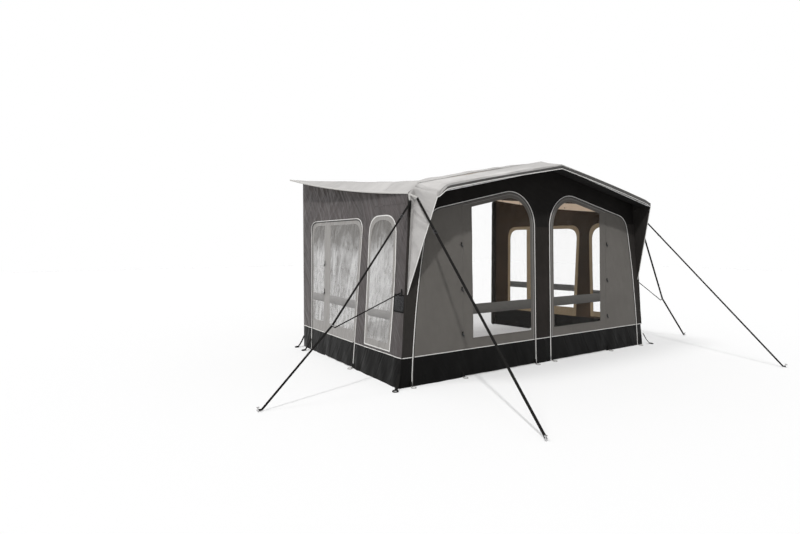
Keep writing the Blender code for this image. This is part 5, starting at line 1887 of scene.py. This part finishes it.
@dataclass
class SideWall:
    """One side wall: its sheet, narrow window, door, fixed panel, skirts and trims."""

    side: Side
    seam: float = 0.0003
    band_low: float = 0.735
    band_high: float = 0.840
    narrow_band_low: float = 0.690
    narrow_band_high: float = 0.780
    toggle_heights: tuple[float, ...] = (1.270, 0.885)

    def build_wall(self) -> None:
        """Build the wall's sheet with its openings and the seam over the window."""
        label, place, door = self.side.label, SIDE_FACES[self.side], SIDE_DOOR
        seat = PLAN.solid_sheet + self.seam
        count = 24
        edge = [(PLAN.depth * index / count, PLAN.wall_top(PLAN.depth * index / count))
                for index in range(1, count + 1)]
        front_top = PLAN.wall_top(seat)
        loop = [(PLAN.lean * PLAN.skirt + seat * 0.3, PLAN.skirt),
                (PLAN.lean * front_top + seat * 0.3, front_top)]
        loop += edge + [(PLAN.depth, PLAN.skirt)] + door.door(-self.seam, PLAN.skirt)
        seam = band(f"wall_seam_{label}", place, [(0.10, 1.972), (0.82, 1.967)], 0.010,
                    Finishes.wall, 0.0002, 0.0012)
        corner = bead(f"corner_piping_{label}", CornerFace(self.side),
                      [(0.0, PLAN.skirt), (0.0, PLAN.eave - 0.04)], Finishes.corner, 0.0075)
        outline = door.narrow(0.006)
        welt = band(f"narrow_window_welt_{label}", place, outline + outline[:1], 0.014,
                    Finishes.piping, 0.0004, 0.0014, 0.03)
        piping = bead(f"wall_skirt_piping_{label}", place,
                      [(0.020, PLAN.skirt), (door.front_at(PLAN.skirt) - 0.019, PLAN.skirt)],
                      Finishes.piping)
        trims = [fit(seam, "root", Slot.WALL), fit(corner, "root", Slot.GABLE),
                 fit(welt, "root", Slot.WALL), fit(piping, "root", Slot.SKIRT)]
        ClothCut(f"wall_sheet_{label}", [loop, door.narrow(-self.seam)], place,
                 (Finishes.wall,), lining=Finishes.inside).sewn("root", Slot.WALL, f"side_wall_{label}",
                                        with_pieces=trims)

    def build_narrow_window(self) -> None:
        """Build the narrow window: its frosted border, pane and cross band."""
        label, place, door = self.side.label, SIDE_FACES[self.side], SIDE_DOOR
        sill = self.narrow_low() + 0.085
        inner = door.narrow(door.border, sill)
        border = ClothCut(f"narrow_border_{label}", [door.narrow(0.0), inner], place,
                          (Finishes.frosted,), 0.0012, inset=0.0008,
                          lining=Finishes.frosted_inside_glow)
        border.sewn("root", Slot.PANE, f"side_window_{label}")
        ClothCut(f"narrow_pane_{label}", [door.narrow(door.border - 0.008, sill - 0.008)], place,
                 (Finishes.side_clear,), 0.0008, inset=0.0022, lining=Finishes.side_clear_inside_lit).sewn(
                     "root", Slot.PANE, f"side_window_{label}")
        centre = (self.narrow_band_low + self.narrow_band_high) / 2
        cross = band(f"narrow_window_band_{label}", place,
                     [(door.narrow_front + 0.05, centre), (door.narrow_rear - 0.05, centre)],
                     self.narrow_band_high - self.narrow_band_low, Finishes.side_band, 0.0002)
        fit(cross, "root", Slot.PANE)

    def narrow_low(self) -> float:
        """Return the height of the narrow window's bottom edge."""
        return SIDE_DOOR.narrow_bottom

    def build_door(self) -> None:
        """Build the door and the fixed panel behind it, with their windows."""
        side, place, door = self.side, SIDE_FACES[self.side], SIDE_DOOR
        label, body = side.label, f"{side.label}_side_door"
        strip_front = door.fold - door.strip
        strip_rear = door.fold + door.border
        flap = clipped(door.door(self.seam, PLAN.sweep_gap), 0, door.fold - self.seam, True)
        panel = clipped(door.door(self.seam, 0.001), 0, door.fold + self.seam, False)
        rows = (
            ("side_flap", flap, door.window(0.0, strip_front, 0.0), body, "side_door",
             (door.front_foot + 0.03, door.fold - 0.004),
             (door.front_at(self.band_low) + door.border - 0.002, strip_front)),
            ("side_rear_panel", panel, door.window(strip_rear, PLAN.depth, 0.0), "root",
             "side_panel", (door.fold + 0.004, door.rear - 0.022), (strip_rear, door.rear - 0.05)),
        )
        centre = (self.band_low + self.band_high) / 2
        for name, outline, opening, rides, node, piped, banded in rows:
            piping = bead(f"{name}_skirt_piping_{label}", place,
                          [(piped[0], PLAN.skirt), (piped[1], PLAN.skirt)], Finishes.piping)
            fit(piping, rides, Slot.SKIRT)
            ClothCut(f"{name}_{label}", [outline, opening], place,
                     (Finishes.frosted, Finishes.skirt), lower_below=PLAN.skirt,
                     lining=Finishes.frosted_inside_glow).sewn(
                         rides, Slot.WALL, f"{node}_{label}", with_pieces=[piping])
            cross = band(f"{name}_band_{label}", place, [(banded[0], centre), (banded[1], centre)],
                         self.band_high - self.band_low, Finishes.side_band, 0.0004)
            fit(cross, rides, Slot.PANE)
            inset = self.seam
            pane = (door.window(0.0, strip_front, inset) if node == "side_door"
                    else door.window(strip_rear, PLAN.depth, inset))
            ClothCut(f"{name}_pane_{label}", [pane], place, (Finishes.side_clear,), 0.0010,
                     lining=Finishes.side_clear_inside_lit,
                     inset=0.0012).sewn(rides, Slot.PANE, f"{node}_window_{label}",
                                        with_pieces=[cross])
        self.build_zip(body)
        self.build_toggles()

    def build_zip(self, body: str) -> None:
        """Build the zip round the door, cut where the door folds."""
        place, door, label = SIDE_FACES[self.side], SIDE_DOOR, self.side.label
        fold = door.fold

        def line(inset: float) -> Loop:
            return door.door(inset, 0.0)

        def before(points: Loop) -> Loop:
            kept = [p for p in sampled(points, 0.02) if p[0] < fold - 0.004]
            return [(x, max(z, PLAN.sweep_gap)) for x, z in kept]

        def behind(points: Loop) -> Loop:
            return [p for p in sampled(points, 0.02) if p[0] > fold + 0.004]

        fastening = Zip(f"side_zip_{label}", place, line)
        fastening.half("frame", -1, "root", Slot.WALL, lambda points: points, True)
        fastening.half("door", 1, body, Slot.WALL, before, False)
        fastening.half("panel", 1, "root", Slot.WALL, behind, False)

    def build_toggles(self) -> None:
        """Build the loops that hold the door when it is rolled up."""
        place, label = SIDE_FACES[self.side], self.side.label
        for number, height in enumerate(self.toggle_heights):
            along = SIDE_DOOR.fold + 0.034
            strap = band(f"side_toggle_strap_{number}", place,
                         [(along, height + 0.03), (along, height - 0.03)], 0.016,
                         Finishes.webbing, 0.001, 0.002, 0.01)
            turn = Matrix.Rotation(math.radians(35), 4, "X")
            bar = shaped_block(f"side_toggle_bar_{number}", (0.012, 0.012, 0.042),
                               Matrix.Translation(place(along, height - 0.03, -0.008)) @ turn,
                               Finishes.plastic, 0.004)
            fit(joined(f"side_toggle_{label}_{number}", [strap, bar]), "root", Slot.PLASTIC)

    def build_skirts(self) -> None:
        """Build the corner skirt, which turns the corner, and the rear skirt."""
        label, place, door = self.side.label, SIDE_FACES[self.side], SIDE_DOOR
        corner = CornerFace(self.side)
        top = PLAN.skirt - self.seam
        steps = 6
        front_edge = [(FRONT_DOOR.outer(up, -self.seam) - PLAN.corner_x(up), up)
                      for up in (top * index / steps for index in range(steps + 1))]
        rear_edge = [(door.front_at(up) - self.seam - PLAN.lean * up, up)
                     for up in (top * index / steps for index in range(steps + 1))]
        loop = front_edge + rear_edge[::-1]
        front_piping = bead(f"corner_skirt_piping_{label}", corner,
                            [(front_edge[-1][0] + 0.019, PLAN.skirt), (0.03, PLAN.skirt)],
                            Finishes.piping)
        fit(front_piping, "root", Slot.SKIRT)
        ClothCut(f"corner_skirt_{label}", [loop], corner, (Finishes.skirt,), cell=0.030).sewn(
            "root", Slot.SKIRT, f"mud_skirt_corner_{label}", with_pieces=[front_piping])
        rear = door.rear + self.seam
        loop = [(rear, 0.001), (PLAN.depth, 0.001), (PLAN.depth, top), (rear, top)]
        piping = bead(f"rear_skirt_piping_{label}", place,
                      [(rear + 0.019, PLAN.skirt), (PLAN.depth - 0.002, PLAN.skirt)],
                      Finishes.piping)
        fit(piping, "root", Slot.SKIRT)
        ClothCut(f"rear_skirt_{label}", [loop], place, (Finishes.skirt,)).sewn(
            "root", Slot.SKIRT, f"mud_skirt_rear_{label}", with_pieces=[piping])

    def build_pocket(self) -> None:
        """Build the net pocket on the corner, with its bound edge and strap."""
        place, label = SIDE_FACES[self.side], self.side.label
        front, rear, low, high = 0.050, 0.250, 0.800, 0.980

        def bulged(along: float, up: float, inward: float) -> Vector:
            across = math.sin(math.pi * (along - front) / (rear - front))
            rise = math.sin(math.pi * min(1.0, (up - low) / (high - low) * 0.9))
            return place(along, up, inward - 0.004 - 0.016 * max(0.0, across * rise))

        loop = [(front, low), (rear, low), (rear, high), (front, high)]
        binding = band(f"pocket_binding_{label}", bulged, loop + loop[:1], 0.014,
                       Finishes.webbing, 0.0004, 0.002, 0.02)
        strap = band(f"pocket_strap_{label}", place, [(0.110, 1.045), (0.110, 0.975)], 0.022,
                     Finishes.webbing, 0.002, 0.002, 0.02)
        at = place(0.110, 1.000, -0.012)
        buckle = shaped_block(f"pocket_buckle_{label}", (0.010, 0.030, 0.022),
                              Matrix.Translation(at), Finishes.plastic, 0.003)
        trim = fit(joined(f"pocket_trim_{label}", [binding, strap, buckle]), "root", Slot.WEBBING)
        ClothCut(f"net_pocket_{label}", [loop], bulged, (Finishes.net,), 0.0012, 0.02).sewn(
            "root", Slot.WEBBING, f"corner_pocket_{label}", with_pieces=[trim])

    def build(self) -> None:
        """Build and dress the whole side."""
        self.build_wall()
        self.build_narrow_window()
        self.build_door()
        self.build_skirts()
        self.build_pocket()


@dataclass
class GroundLoops:
    """The webbing loops and rings by which the skirts are pegged down."""

    strap_width: float = 0.024
    wide_strap: float = 0.038
    ring_radius: float = 0.028
    ring_wire: float = 0.0042
    wide_wire: float = 0.0065
    tail: float = 0.110
    drop: float = 0.160

    def build_one(self, name: str, foot: Vector, outward: Vector, ringed: bool) -> None:
        """Build one loop at a point of the hem.

        Args:
            name: The piece's name.
            foot: The point of the hem, on the ground.
            outward: The level direction away from the awning.
            ringed: Whether the loop carries a light ring, or ends in a black loop.
        """
        up = Vector((0.0, 0.0, 1.0))
        start = foot + outward * 0.006 + up * (0.060 if ringed else self.drop)
        knee = foot + (outward * 0.010 + up * 0.016 if ringed
                       else outward * self.tail * 0.45 + up * self.drop * 0.5)
        end = foot + outward * (0.030 if ringed else self.tail) + up * 0.008
        path = [start, start.lerp(knee, 0.5), knee, knee.lerp(end, 0.5) + up * -0.003, end]
        normals = [outward, outward, (outward + up).normalized(), (outward + up * 2).normalized(),
                   up]
        width, wire = ((self.strap_width, self.ring_wire) if ringed
                       else (self.wide_strap, self.wide_wire))
        strap = Sweep(f"{name}_strap", path, flat_profile(width, 0.003),
                      Finishes.webbing, normals).build()
        centre = end + outward * (self.ring_radius - 0.006)
        centre.z = wire + 0.002
        finish = Finishes.elastic if ringed else Finishes.webbing
        loop = ring(f"{name}_ring", centre, (up + outward * 0.10).normalized(),
                    self.ring_radius, wire, finish)
        fit(joined(name, [strap, loop]), "root", Slot.WEBBING)

    def build(self) -> None:
        """Build every loop round the foot of the awning."""
        ahead = Vector((0.0, -1.0, 0.0))
        for side in Side:
            sign, label = side.value, side.label
            for number, (x, ringed) in enumerate(((0.165, True), (1.400, True), (2.150, True))):
                self.build_one(f"front_loop_{label}_{number}",
                               FRONT(sign * x, 0.0, 0.0), ahead, ringed)
            diagonal = Vector((sign * 0.8, -0.6, 0.0)).normalized()
            corner = Vector((sign * (PLAN.front_half - 0.006), PLAN.front_y + 0.006, 0.0))
            self.build_one(f"corner_loop_{label}", corner, diagonal, False)
            wall = SIDE_FACES[side]
            out = Vector((sign * 1.0, -0.1, 0.0)).normalized()
            self.build_one(f"side_loop_{label}_0", wall(SIDE_DOOR.front_foot - 0.012, 0.0, 0.0),
                           out, True)
            self.build_one(f"side_loop_{label}_1", wall(SIDE_DOOR.rear + 0.010, 0.0, 0.0), out,
                           False)
            self.build_one(f"side_loop_{label}_2", wall(PLAN.depth - 0.030, 0.0, 0.0), out, False)


@dataclass
class AirBeam:
    """One inflated beam in its sleeve, with its valve."""

    label: str
    side: int
    radius: float = 0.0490
    bend: float = 0.200
    valve_height: float = 0.420

    def path(self) -> list[Vector]:
        """Return the beam's centre line, the same as the solid follows."""
        solid_radius = 0.050
        sheet = PLAN.solid_sheet
        fall = (PLAN.ridge - PLAN.shoulder) / PLAN.shoulder_half
        seat = sheet + solid_radius + 0.0003 + PLAN.lean * 0.020
        lift = sheet + solid_radius / math.cos(math.atan(fall)) + 0.003
        front_x, rear_x = (1.960, 1.920) if self.side else (0.0, 0.0)
        run = []
        for row in range(1, 9):
            share = row / 8
            across = front_x + (rear_x - front_x) * share
            depth = min(PLAN.roof_line(0.0, share)[1], PLAN.depth - 0.015)
            run.append(Vector((self.side * across, PLAN.front_y + depth,
                               PLAN.roof_height(across, depth) - lift)))
        flat = FrontFace(ripple=0.0, skirt_swell=0.0)
        if self.side:
            inside = sheet + solid_radius + 0.012
            foot = flat(self.side * (PLAN.corner_x(0.0) - inside), 0.0, seat)
            top_up = PLAN.shoulder - sheet - solid_radius * 2
            across = min(PLAN.corner_x(top_up) - inside, 1.960)
            top = flat(self.side * across, top_up, seat)
        else:
            foot = flat(0.0, 0.0, seat)
            top = flat(0.0, PLAN.ridge - sheet - solid_radius - self.bend / 4, seat)
        leg = (foot - top).normalized()
        back = (run[0] - top).normalized()
        points = [foot + Vector((0, 0, 0.004)), foot + Vector((0, 0, 0.02))]
        length = (top - foot).length
        points += [foot.lerp(top + leg * self.bend, index / 12) for index in range(1, 12)
                   if index / 12 * length > 0.05]
        for point in points:
            point.x -= self.side * PLAN.bow(0.0, point.z)
        points += [Vector(p) for p in bezier(top + leg * self.bend, top, top + back * self.bend, 10)]
        return points + run

    def build(self) -> None:
        """Build the sleeve with its seam, and the valve's base."""
        path = self.path()
        tube = Sweep(f"{self.label}_beam_tube", path, round_profile(self.radius, 28),
                     Finishes.sleeve, swell=self.swell).build()
        seam_path = [point + Vector((0.0, self.radius + 0.0002, 0.0)) for point in path[2:12]]
        seam = Sweep(f"{self.label}_beam_seam", seam_path, flat_profile(0.012, 0.0016),
                     Finishes.sleeve, [Vector((0.0, 1.0, 0.0))] * len(seam_path)).build()
        foot, top = path[0], path[12]
        share = self.valve_height / (top.z - foot.z)
        at = foot.lerp(top, share) + Vector((0.0, self.radius - 0.006, 0.0))
        valve = Sweep(f"{self.label}_beam_valve", [at, at + Vector((0.0, 0.012, 0.0)),
                                                   at + Vector((0.0, 0.0225, 0.0))],
                      round_profile(0.0255, 24), Finishes.plastic).build()
        name = f"{self.label}_beam_sleeve"
        obj = fit(joined(name, [tube, seam, valve]), "root", Slot.BEAM, f"air_beam_{self.label}")

    @staticmethod
    def swell(share: float) -> float:
        """Return the tube's thickness along it, drawn in at its two ends."""
        return 0.72 + 0.28 * ease(0.0, 0.012, share) * ease(1.0, 0.988, share)


@dataclass
class RearPad:
    """The foam pad that closes a side wall against what carries the rail."""

    side: Side
    width: float = 0.078
    depth: float = 0.058
    top: float = 2.326

    def build(self) -> None:
        """Build the padded strip with its tucked ends."""
        place = SIDE_FACES[self.side]
        path, normals = [], []
        count = 70
        for index in range(count + 1):
            up = 0.004 + (self.top - 0.006) * index / count
            middle = place(PLAN.depth - self.depth / 2 - 0.001, up,
                           PLAN.solid_sheet + 0.001 + self.width / 2)
            path.append(middle)
            normals.append(Vector((self.side.value, 0.0, 0.0)))
        profile = []
        sides = 20
        for index in range(sides):
            angle = math.tau * index / sides
            x, y = math.cos(angle), math.sin(angle)
            profile.append((math.copysign(abs(x) ** 0.55, x) * self.depth / 2,
                            math.copysign(abs(y) ** 0.55, y) * self.width / 2))
        pad = Sweep(f"rear_pad_cover_{self.side.label}", path, profile, Finishes.pad, normals,
                    self.swell).build()
        fit(pad, "root", Slot.FOAM, f"rear_pad_{self.side.label}")

    @staticmethod
    def swell(share: float) -> float:
        """Return the pad's fullness, with shallow tufts and drawn-in ends."""
        ends = 0.55 + 0.45 * ease(0.0, 0.012, share) * ease(1.0, 0.988, share)
        return ends * (0.985 + 0.015 * math.cos(math.tau * share * 9))


@dataclass
class Slider:
    """A zip slider with its puller."""

    name: str
    node: str
    body: str

    def build(self) -> None:
        """Build the slider over its solid's place."""
        low, high = (Vector(corner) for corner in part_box(self.node))
        centre, size = (low + high) / 2, high - low
        across = Vector((1, 0, 0)) if size.x > size.y else Vector((0, 1, 0))
        if self.node.startswith("side"):
            across = Vector((0, 1, 0))
            outward = Vector((math.copysign(1, centre.x), 0, 0))
        else:
            across = Vector((1, 0, 0))
            outward = Vector((0, -1, 0))
        basis = Matrix((across, outward, Vector((0, 0, 1)))).transposed().to_4x4()
        body = shaped_block("slider_body", (0.013, 0.005, 0.030),
                            Matrix.Translation(centre) @ basis, Finishes.alloy, 0.0018)
        bridge = shaped_block("slider_bridge", (0.005, 0.004, 0.016),
                              Matrix.Translation(centre + outward * 0.0035) @ basis,
                              Finishes.alloy, 0.0015)
        puller = shaped_block("slider_puller", (0.010, 0.002, 0.030),
                              Matrix.Translation(centre + outward * 0.0055
                                                 - Vector((0, 0, 0.018))) @ basis,
                              Finishes.alloy, 0.0009)
        fit(joined(self.name, [body, bridge, puller]), self.body, Slot.STEEL, self.node)


@dataclass
class Guys:
    """The guys on one side, with their buckles and the rings at their pegs."""

    side: Side
    front_peg: tuple[float, float]
    side_peg: tuple[float, float]
    link_joint: tuple[float, float, float]
    diameter: float = 0.020
    link_diameter: float = 0.012
    width: float = 0.025
    side_width: float = 0.021
    link_width: float = 0.012
    lead: float = 0.008
    side_lead: float = 0.030
    face_way: tuple[float, float, float] = (-0.70, -0.70, 0.10)
    stub: float = 0.030
    gap: float = 0.0004
    anchor_inset: float = 0.027
    anchor_height: float = 1.990
    link_depth: float = 0.110
    link_height: float = 1.010
    front_share: float = 0.175
    side_share: float = 0.120
    wing_share: float = 0.150

    def at(self, half_width: float, depth: float, height: float) -> Vector:
        """Return a point from its half width, depth and height."""
        return Vector((self.side.value * half_width, PLAN.front_y + depth, height))

    def peg_end(self, peg: tuple[float, float]) -> list[Vector]:
        """Return the last two points of a guy, where it meets its peg."""
        stake = self.at(*peg, 0.0)
        inward = Vector((-stake.x, PLAN.front_y - stake.y, 0.0)).normalized()
        end = stake + inward * (0.006 + self.gap) + Vector((0.0, 0.0, 0.016))
        return [end + inward * self.stub, end]

    def smooth_start(self, anchor: Vector, outward: Vector, target: Vector,
                     lead: float) -> list[Vector]:
        """Return the points by which a guy leaves its anchor and turns to its target."""
        first = anchor + outward * lead / 2
        knee = anchor + outward * lead
        away = (target - knee).normalized()
        return [anchor] + [Vector(p) for p in bezier(first, knee, knee + away * self.stub, 4)]

    def wall_normal(self, depth: float, height: float) -> Vector:
        """Return the outward normal of the flat side wall."""
        sign = self.side.value

        def at(along: float, up: float) -> Vector:
            return Vector((sign * PLAN.wall_x(along, up), PLAN.front_y + along, up))

        here = at(depth, height)
        along, upward = at(depth + 0.001, height) - here, at(depth, height + 0.001) - here
        return (along.cross(upward) * sign).normalized()

    def wall_point(self, depth: float, height: float) -> Vector:
        """Return a point on the flat side wall."""
        return self.at(PLAN.wall_x(depth, height), depth, height)

    def strap(self, name: str, path: list[Vector], width: float) -> bpy.types.Object:
        """Build one guy as a flat band with its face to the front left."""
        outward = [Vector(self.face_way)] * len(path)
        thickness = 0.0030
        profile = flat_profile(width, thickness, -thickness / 2)
        return Sweep(name, path, profile, Finishes.webbing, outward).build()

    def spread_path(self, points: list[Vector]) -> list[Vector]:
        """Return the points with more of them on the long straight runs."""
        path = [points[0]]
        for first, second in zip(points, points[1:]):
            count = max(1, round((second - first).length / 0.20))
            path += [first.lerp(second, index / count) for index in range(1, count + 1)]
        return path

    def buckle(self, name: str, node: str, body: str, along: Vector, at: Vector) -> bpy.types.Object:
        """Build a ladder buckle round a guy, on its slider's body."""
        turn = along.to_track_quat("Z", "Y").to_matrix().to_4x4()
        matrix = Matrix.Translation(at) @ turn
        parts = []
        for number, (size, offset) in enumerate((
                ((0.006, 0.010, 0.050), (0.0165, 0.0, 0.0)),
                ((0.006, 0.010, 0.050), (-0.0165, 0.0, 0.0)),
                ((0.034, 0.007, 0.008), (0.0, 0.0065, 0.021)),
                ((0.034, 0.007, 0.008), (0.0, -0.0065, 0.0)),
                ((0.034, 0.007, 0.008), (0.0, 0.0065, -0.021)))):
            part = shaped_block(f"{name}_{number}", size, matrix @ Matrix.Translation(offset),
                                Finishes.plastic, 0.002)
            parts.append(part)
        return fit(joined(name, parts), body, Slot.PLASTIC, node)

    def fitting(self, name: str, peg: tuple[float, float], end: Vector) -> bpy.types.Object:
        """Build the ring that a guy ends in, round its peg."""
        stake = self.at(*peg, 0.018)
        return fit(ring(name, stake, Vector((0.0, 0.12, 1.0)).normalized(), 0.0125, 0.0025,
                        Finishes.steel), "root", Slot.STEEL)

    def build(self) -> None:
        """Build the guys, from the wing, the wall and the corner pocket."""
        label, width = self.side.label, self.width
        tip, rear, front, normal = Wing(self.side).corners()
        across = rear + (front - rear) * self.wing_share
        drop = (across - tip) * (self.stub * 2 / (across - tip).length)
        anchor = across - drop + normal * (PLAN.solid_sheet / 2 + self.gap)
        front_head = anchor
        ends = self.peg_end(self.front_peg)
        knots = self.smooth_start(anchor, normal, ends[0], self.lead) + ends
        self.lay_guy(f"front_guy_{label}", f"front_guy_{label}", knots, self.front_peg,
                     "front", knots[-3], knots[-2], self.front_share, width)
        outward = Vector((0.0, -1.0, PLAN.lean)).normalized()
        height = self.anchor_height
        across = PLAN.front_half - PLAN.corner_lean * height - self.anchor_inset
        anchor = self.at(across, PLAN.lean * height, height) + outward * self.gap * 2
        self.tapes(anchor, front_head)
        joint = self.at(*self.link_joint)
        ends = self.peg_end(self.side_peg)
        knots = self.smooth_start(anchor, outward, joint, self.side_lead) + [joint] + ends
        guy = self.lay_guy(f"side_guy_{label}", f"side_guy_{label}", knots, self.side_peg,
                           "side", knots[-4], joint, self.side_share, self.side_width)
        run = (ends[0] - knots[-4]).normalized()
        outward = self.wall_normal(self.link_depth, self.link_height)
        anchor = self.wall_point(self.link_depth, self.link_height) + outward * self.gap * 2
        back = anchor - joint
        back = (back - run * back.dot(run)).normalized()
        link_end = joint + back * (0.010 + self.gap)
        near = link_end + back * self.stub
        knots = self.smooth_start(anchor, outward, near, self.lead) + [near, link_end]
        path = self.spread_path(knots)
        link = fit(self.strap(f"link_strap_{label}", path, self.link_width), "root",
                   Slot.WEBBING, f"guy_link_{label}")
        tie = fit(ring(f"link_ring_{label}", joint, run, 0.0120, 0.0022, Finishes.steel), "root",
                  Slot.STEEL)
        LOG.info("%s meets %s", link.name, guy.name)

    def tapes(self, side_head: Vector, front_head: Vector) -> None:
        """Build the light tapes from the eave's corner to both guys' heads, and their loops."""
        sign, label = self.side.value, self.side.label
        corner = Vector((sign * 2.134, PLAN.front_y + PLAN.lean * 2.066 - 0.010, 2.066))
        facing = Vector((sign * 0.5, -0.85, 0.1)).normalized()
        parts = []
        for number, head in enumerate((side_head, front_head)):
            end = head + facing * 0.003
            middle = corner.lerp(end, 0.5) + facing * 0.006
            path = [Vector(point) for point in bezier(corner, middle, end, 6)]
            parts.append(Sweep(f"head_tape_{number}", path, flat_profile(0.020, 0.0024),
                               Finishes.light_tape, [facing] * len(path)).build())
            turn = (end - corner).to_track_quat("Z", "Y").to_matrix().to_4x4()
            parts.append(shaped_block(f"head_loop_{number}", (0.030, 0.010, 0.016),
                                      Matrix.Translation(head + facing * 0.006) @ turn,
                                      Finishes.plastic, 0.003))
        fit(joined(f"guy_head_tapes_{label}", parts), "root", Slot.WEBBING)

    def lay_guy(self, name: str, node: str, knots: list[Vector],
                peg: tuple[float, float], kind: str, start: Vector, end: Vector,
                share: float, width: float) -> bpy.types.Object:
        label = self.side.label
        path = self.spread_path(knots)
        obj = fit(self.strap(f"{kind}_guy_strap_{label}", path, width), "root", Slot.WEBBING,
                  node)
        buckle = self.buckle(f"{kind}_buckle_{label}", f"{kind}_tensioner_{label}",
                             f"{label}_{kind}_tensioner", (end - start).normalized(),
                             start + (end - start) * share)
        loop = self.fitting(f"{kind}_guy_ring_{label}", peg, knots[-1])
        LOG.info("%s is %.3f m long", name, path_length(path))
        return obj


def path_length(path: Sequence[Vector]) -> float:
    """Return the length of a line of points."""
    return sum((b - a).length for a, b in zip(path, path[1:]))


@dataclass
class Studio:
    """The plain floor, the soft light and the camera at the photograph's place."""

    lens: float = 25.473
    sensor: float = 36.0
    yaw: float = 0.624446
    pitch: float = -0.0424495
    eye: tuple[float, float, float] = (-5.75496, -6.11914, 1.54319)
    sun_way: tuple[float, float, float] = (0.555, 0.450, -0.700)
    sun_strength: float = 2.1
    sun_angle: float = 2.5
    fill_way: tuple[float, float, float] = (0.52, -0.10, -0.85)
    fill_strength: float = 1.0
    fill_angle: float = 16.0
    sky: float = 0.46
    floor_tone: float = 0.62
    floor_glow: float = 0.262
    floor_size: float = 60.0

    def build_camera(self) -> None:
        """Place the camera where the photograph was taken from."""
        data = bpy.data.cameras.new("camera")
        data.sensor_width = self.sensor
        data.lens = self.lens
        data.clip_end = 200.0
        camera = bpy.data.objects.new("camera", data)
        bpy.context.scene.collection.objects.link(camera)
        forward = Vector((math.sin(self.yaw) * math.cos(self.pitch),
                          math.cos(self.yaw) * math.cos(self.pitch), math.sin(self.pitch)))
        right = Vector((math.cos(self.yaw), -math.sin(self.yaw), 0.0))
        upward = right.cross(forward)
        turn = Matrix((right, upward, -forward)).transposed().to_4x4()
        camera.matrix_world = Matrix.Translation(self.eye) @ turn
        bpy.context.scene.camera = camera

    def build_light(self) -> None:
        """Light the awning with a soft sun from the front left and a plain sky."""
        lamps = (("sun", self.sun_way, self.sun_strength, self.sun_angle),
                 ("fill", self.fill_way, self.fill_strength, self.fill_angle))
        for name, way, strength, angle in lamps:
            data = bpy.data.lights.new(name, "SUN")
            data.energy = strength
            data.angle = math.radians(angle)
            lamp = bpy.data.objects.new(name, data)
            lamp.rotation_euler = Vector(way).to_track_quat("-Z", "Y").to_euler()
            bpy.context.scene.collection.objects.link(lamp)
        world = bpy.data.worlds.new("plain_sky")
        world.use_nodes = True
        bpy.context.scene.world = world
        sheet = NodeSheet(world.node_tree)
        seen = sheet.seen()
        strength = sheet.spread(seen, 0.0, 1.0, self.sky, 1.0)
        background = world.node_tree.nodes["Background"]
        background.inputs["Color"].default_value = (1.0, 1.0, 1.0, 1.0)
        sheet.feed(background.inputs["Strength"], strength)

    def build_floor(self) -> None:
        """Lay a pale floor that turns white in full light and keeps the shadow."""
        work = bmesh.new()
        bmesh.ops.create_grid(work, x_segments=1, y_segments=1, size=self.floor_size / 2)
        mesh = bpy.data.meshes.new("floor")
        work.to_mesh(mesh)
        work.free()
        floor = bpy.data.objects.new("floor", mesh)
        floor.location.z = -0.0005
        bpy.context.scene.collection.objects.link(floor)
        mat = bpy.data.materials.new("pale_floor")
        mat.use_nodes = True
        sheet = NodeSheet(mat.node_tree)
        shader = mat.node_tree.nodes["Principled BSDF"]
        tone = self.floor_tone
        shader.inputs["Base Color"].default_value = (tone, tone, tone, 1.0)
        shader.inputs["Roughness"].default_value = 0.9
        shader.inputs["Specular IOR Level"].default_value = 0.0
        shader.inputs["Emission Color"].default_value = (1.0, 1.0, 1.0, 1.0)
        glow = sheet.spread(sheet.seen(), 0.0, 1.0, 0.0, self.floor_glow)
        sheet.feed(shader.inputs["Emission Strength"], glow)
        mesh.materials.append(mat)

    def build(self) -> None:
        """Set up the stage."""
        bpy.context.scene.view_settings.view_transform = "Standard"
        self.build_camera()
        self.build_light()
        self.build_floor()


def dress_solids() -> None:
    """Give the solids that stay their own finishes."""
    rows = {
        Finishes.plastic: ["rail_beading", "visor_pole_elbow"]
        + [f"valve_cap_{label}" for label in ("left", "centre", "right")],
        Finishes.steel: [f"{kind}_{side.label}" for side in Side
                         for kind in ("visor_pole", "front_peg", "side_peg")],
    }
    for finish, nodes in rows.items():
        for node in nodes:
            obj = bpy.data.objects[node]
            for slot in obj.material_slots:
                slot.link = "OBJECT"
                slot.material = finish.material()
            LOG.info("%s keeps its solid", node)


GUYS = {
    Side.LEFT: Guys(Side.LEFT, (2.288, -1.944), (3.819, 0.094), (3.067, 0.055, 0.735)),
    Side.RIGHT: Guys(Side.RIGHT, (2.199, -1.963), (3.622, 0.044), (2.905, 0.045, 0.655),
                     width=0.020, side_width=0.025),
}


def main() -> None:
    """Build the stage, the cords and then every other piece."""
    logging.basicConfig(level=logging.INFO, format="%(name)s: %(message)s")
    Studio().build()
    for side in Side:
        GUYS[side].build()
    Roof().build()
    Visor().build()
    FrontWall().build()
    for side in Side:
        label = side.label
        Wing(side).build()
        FrontDoor(side).build()
        SideWall(side).build()
        RearPad(side).build()
        AirBeam(label, side.value).build()
        Slider(f"front_slider_{label}", f"front_zip_slider_{label}",
               f"{label}_front_zip").build()
        Slider(f"side_slider_{label}", f"side_zip_slider_{label}",
               f"{label}_side_zip").build()
    AirBeam("centre", 0).build()
    GroundLoops().build()
    dress_solids()


if __name__ == "__main__":
    main()
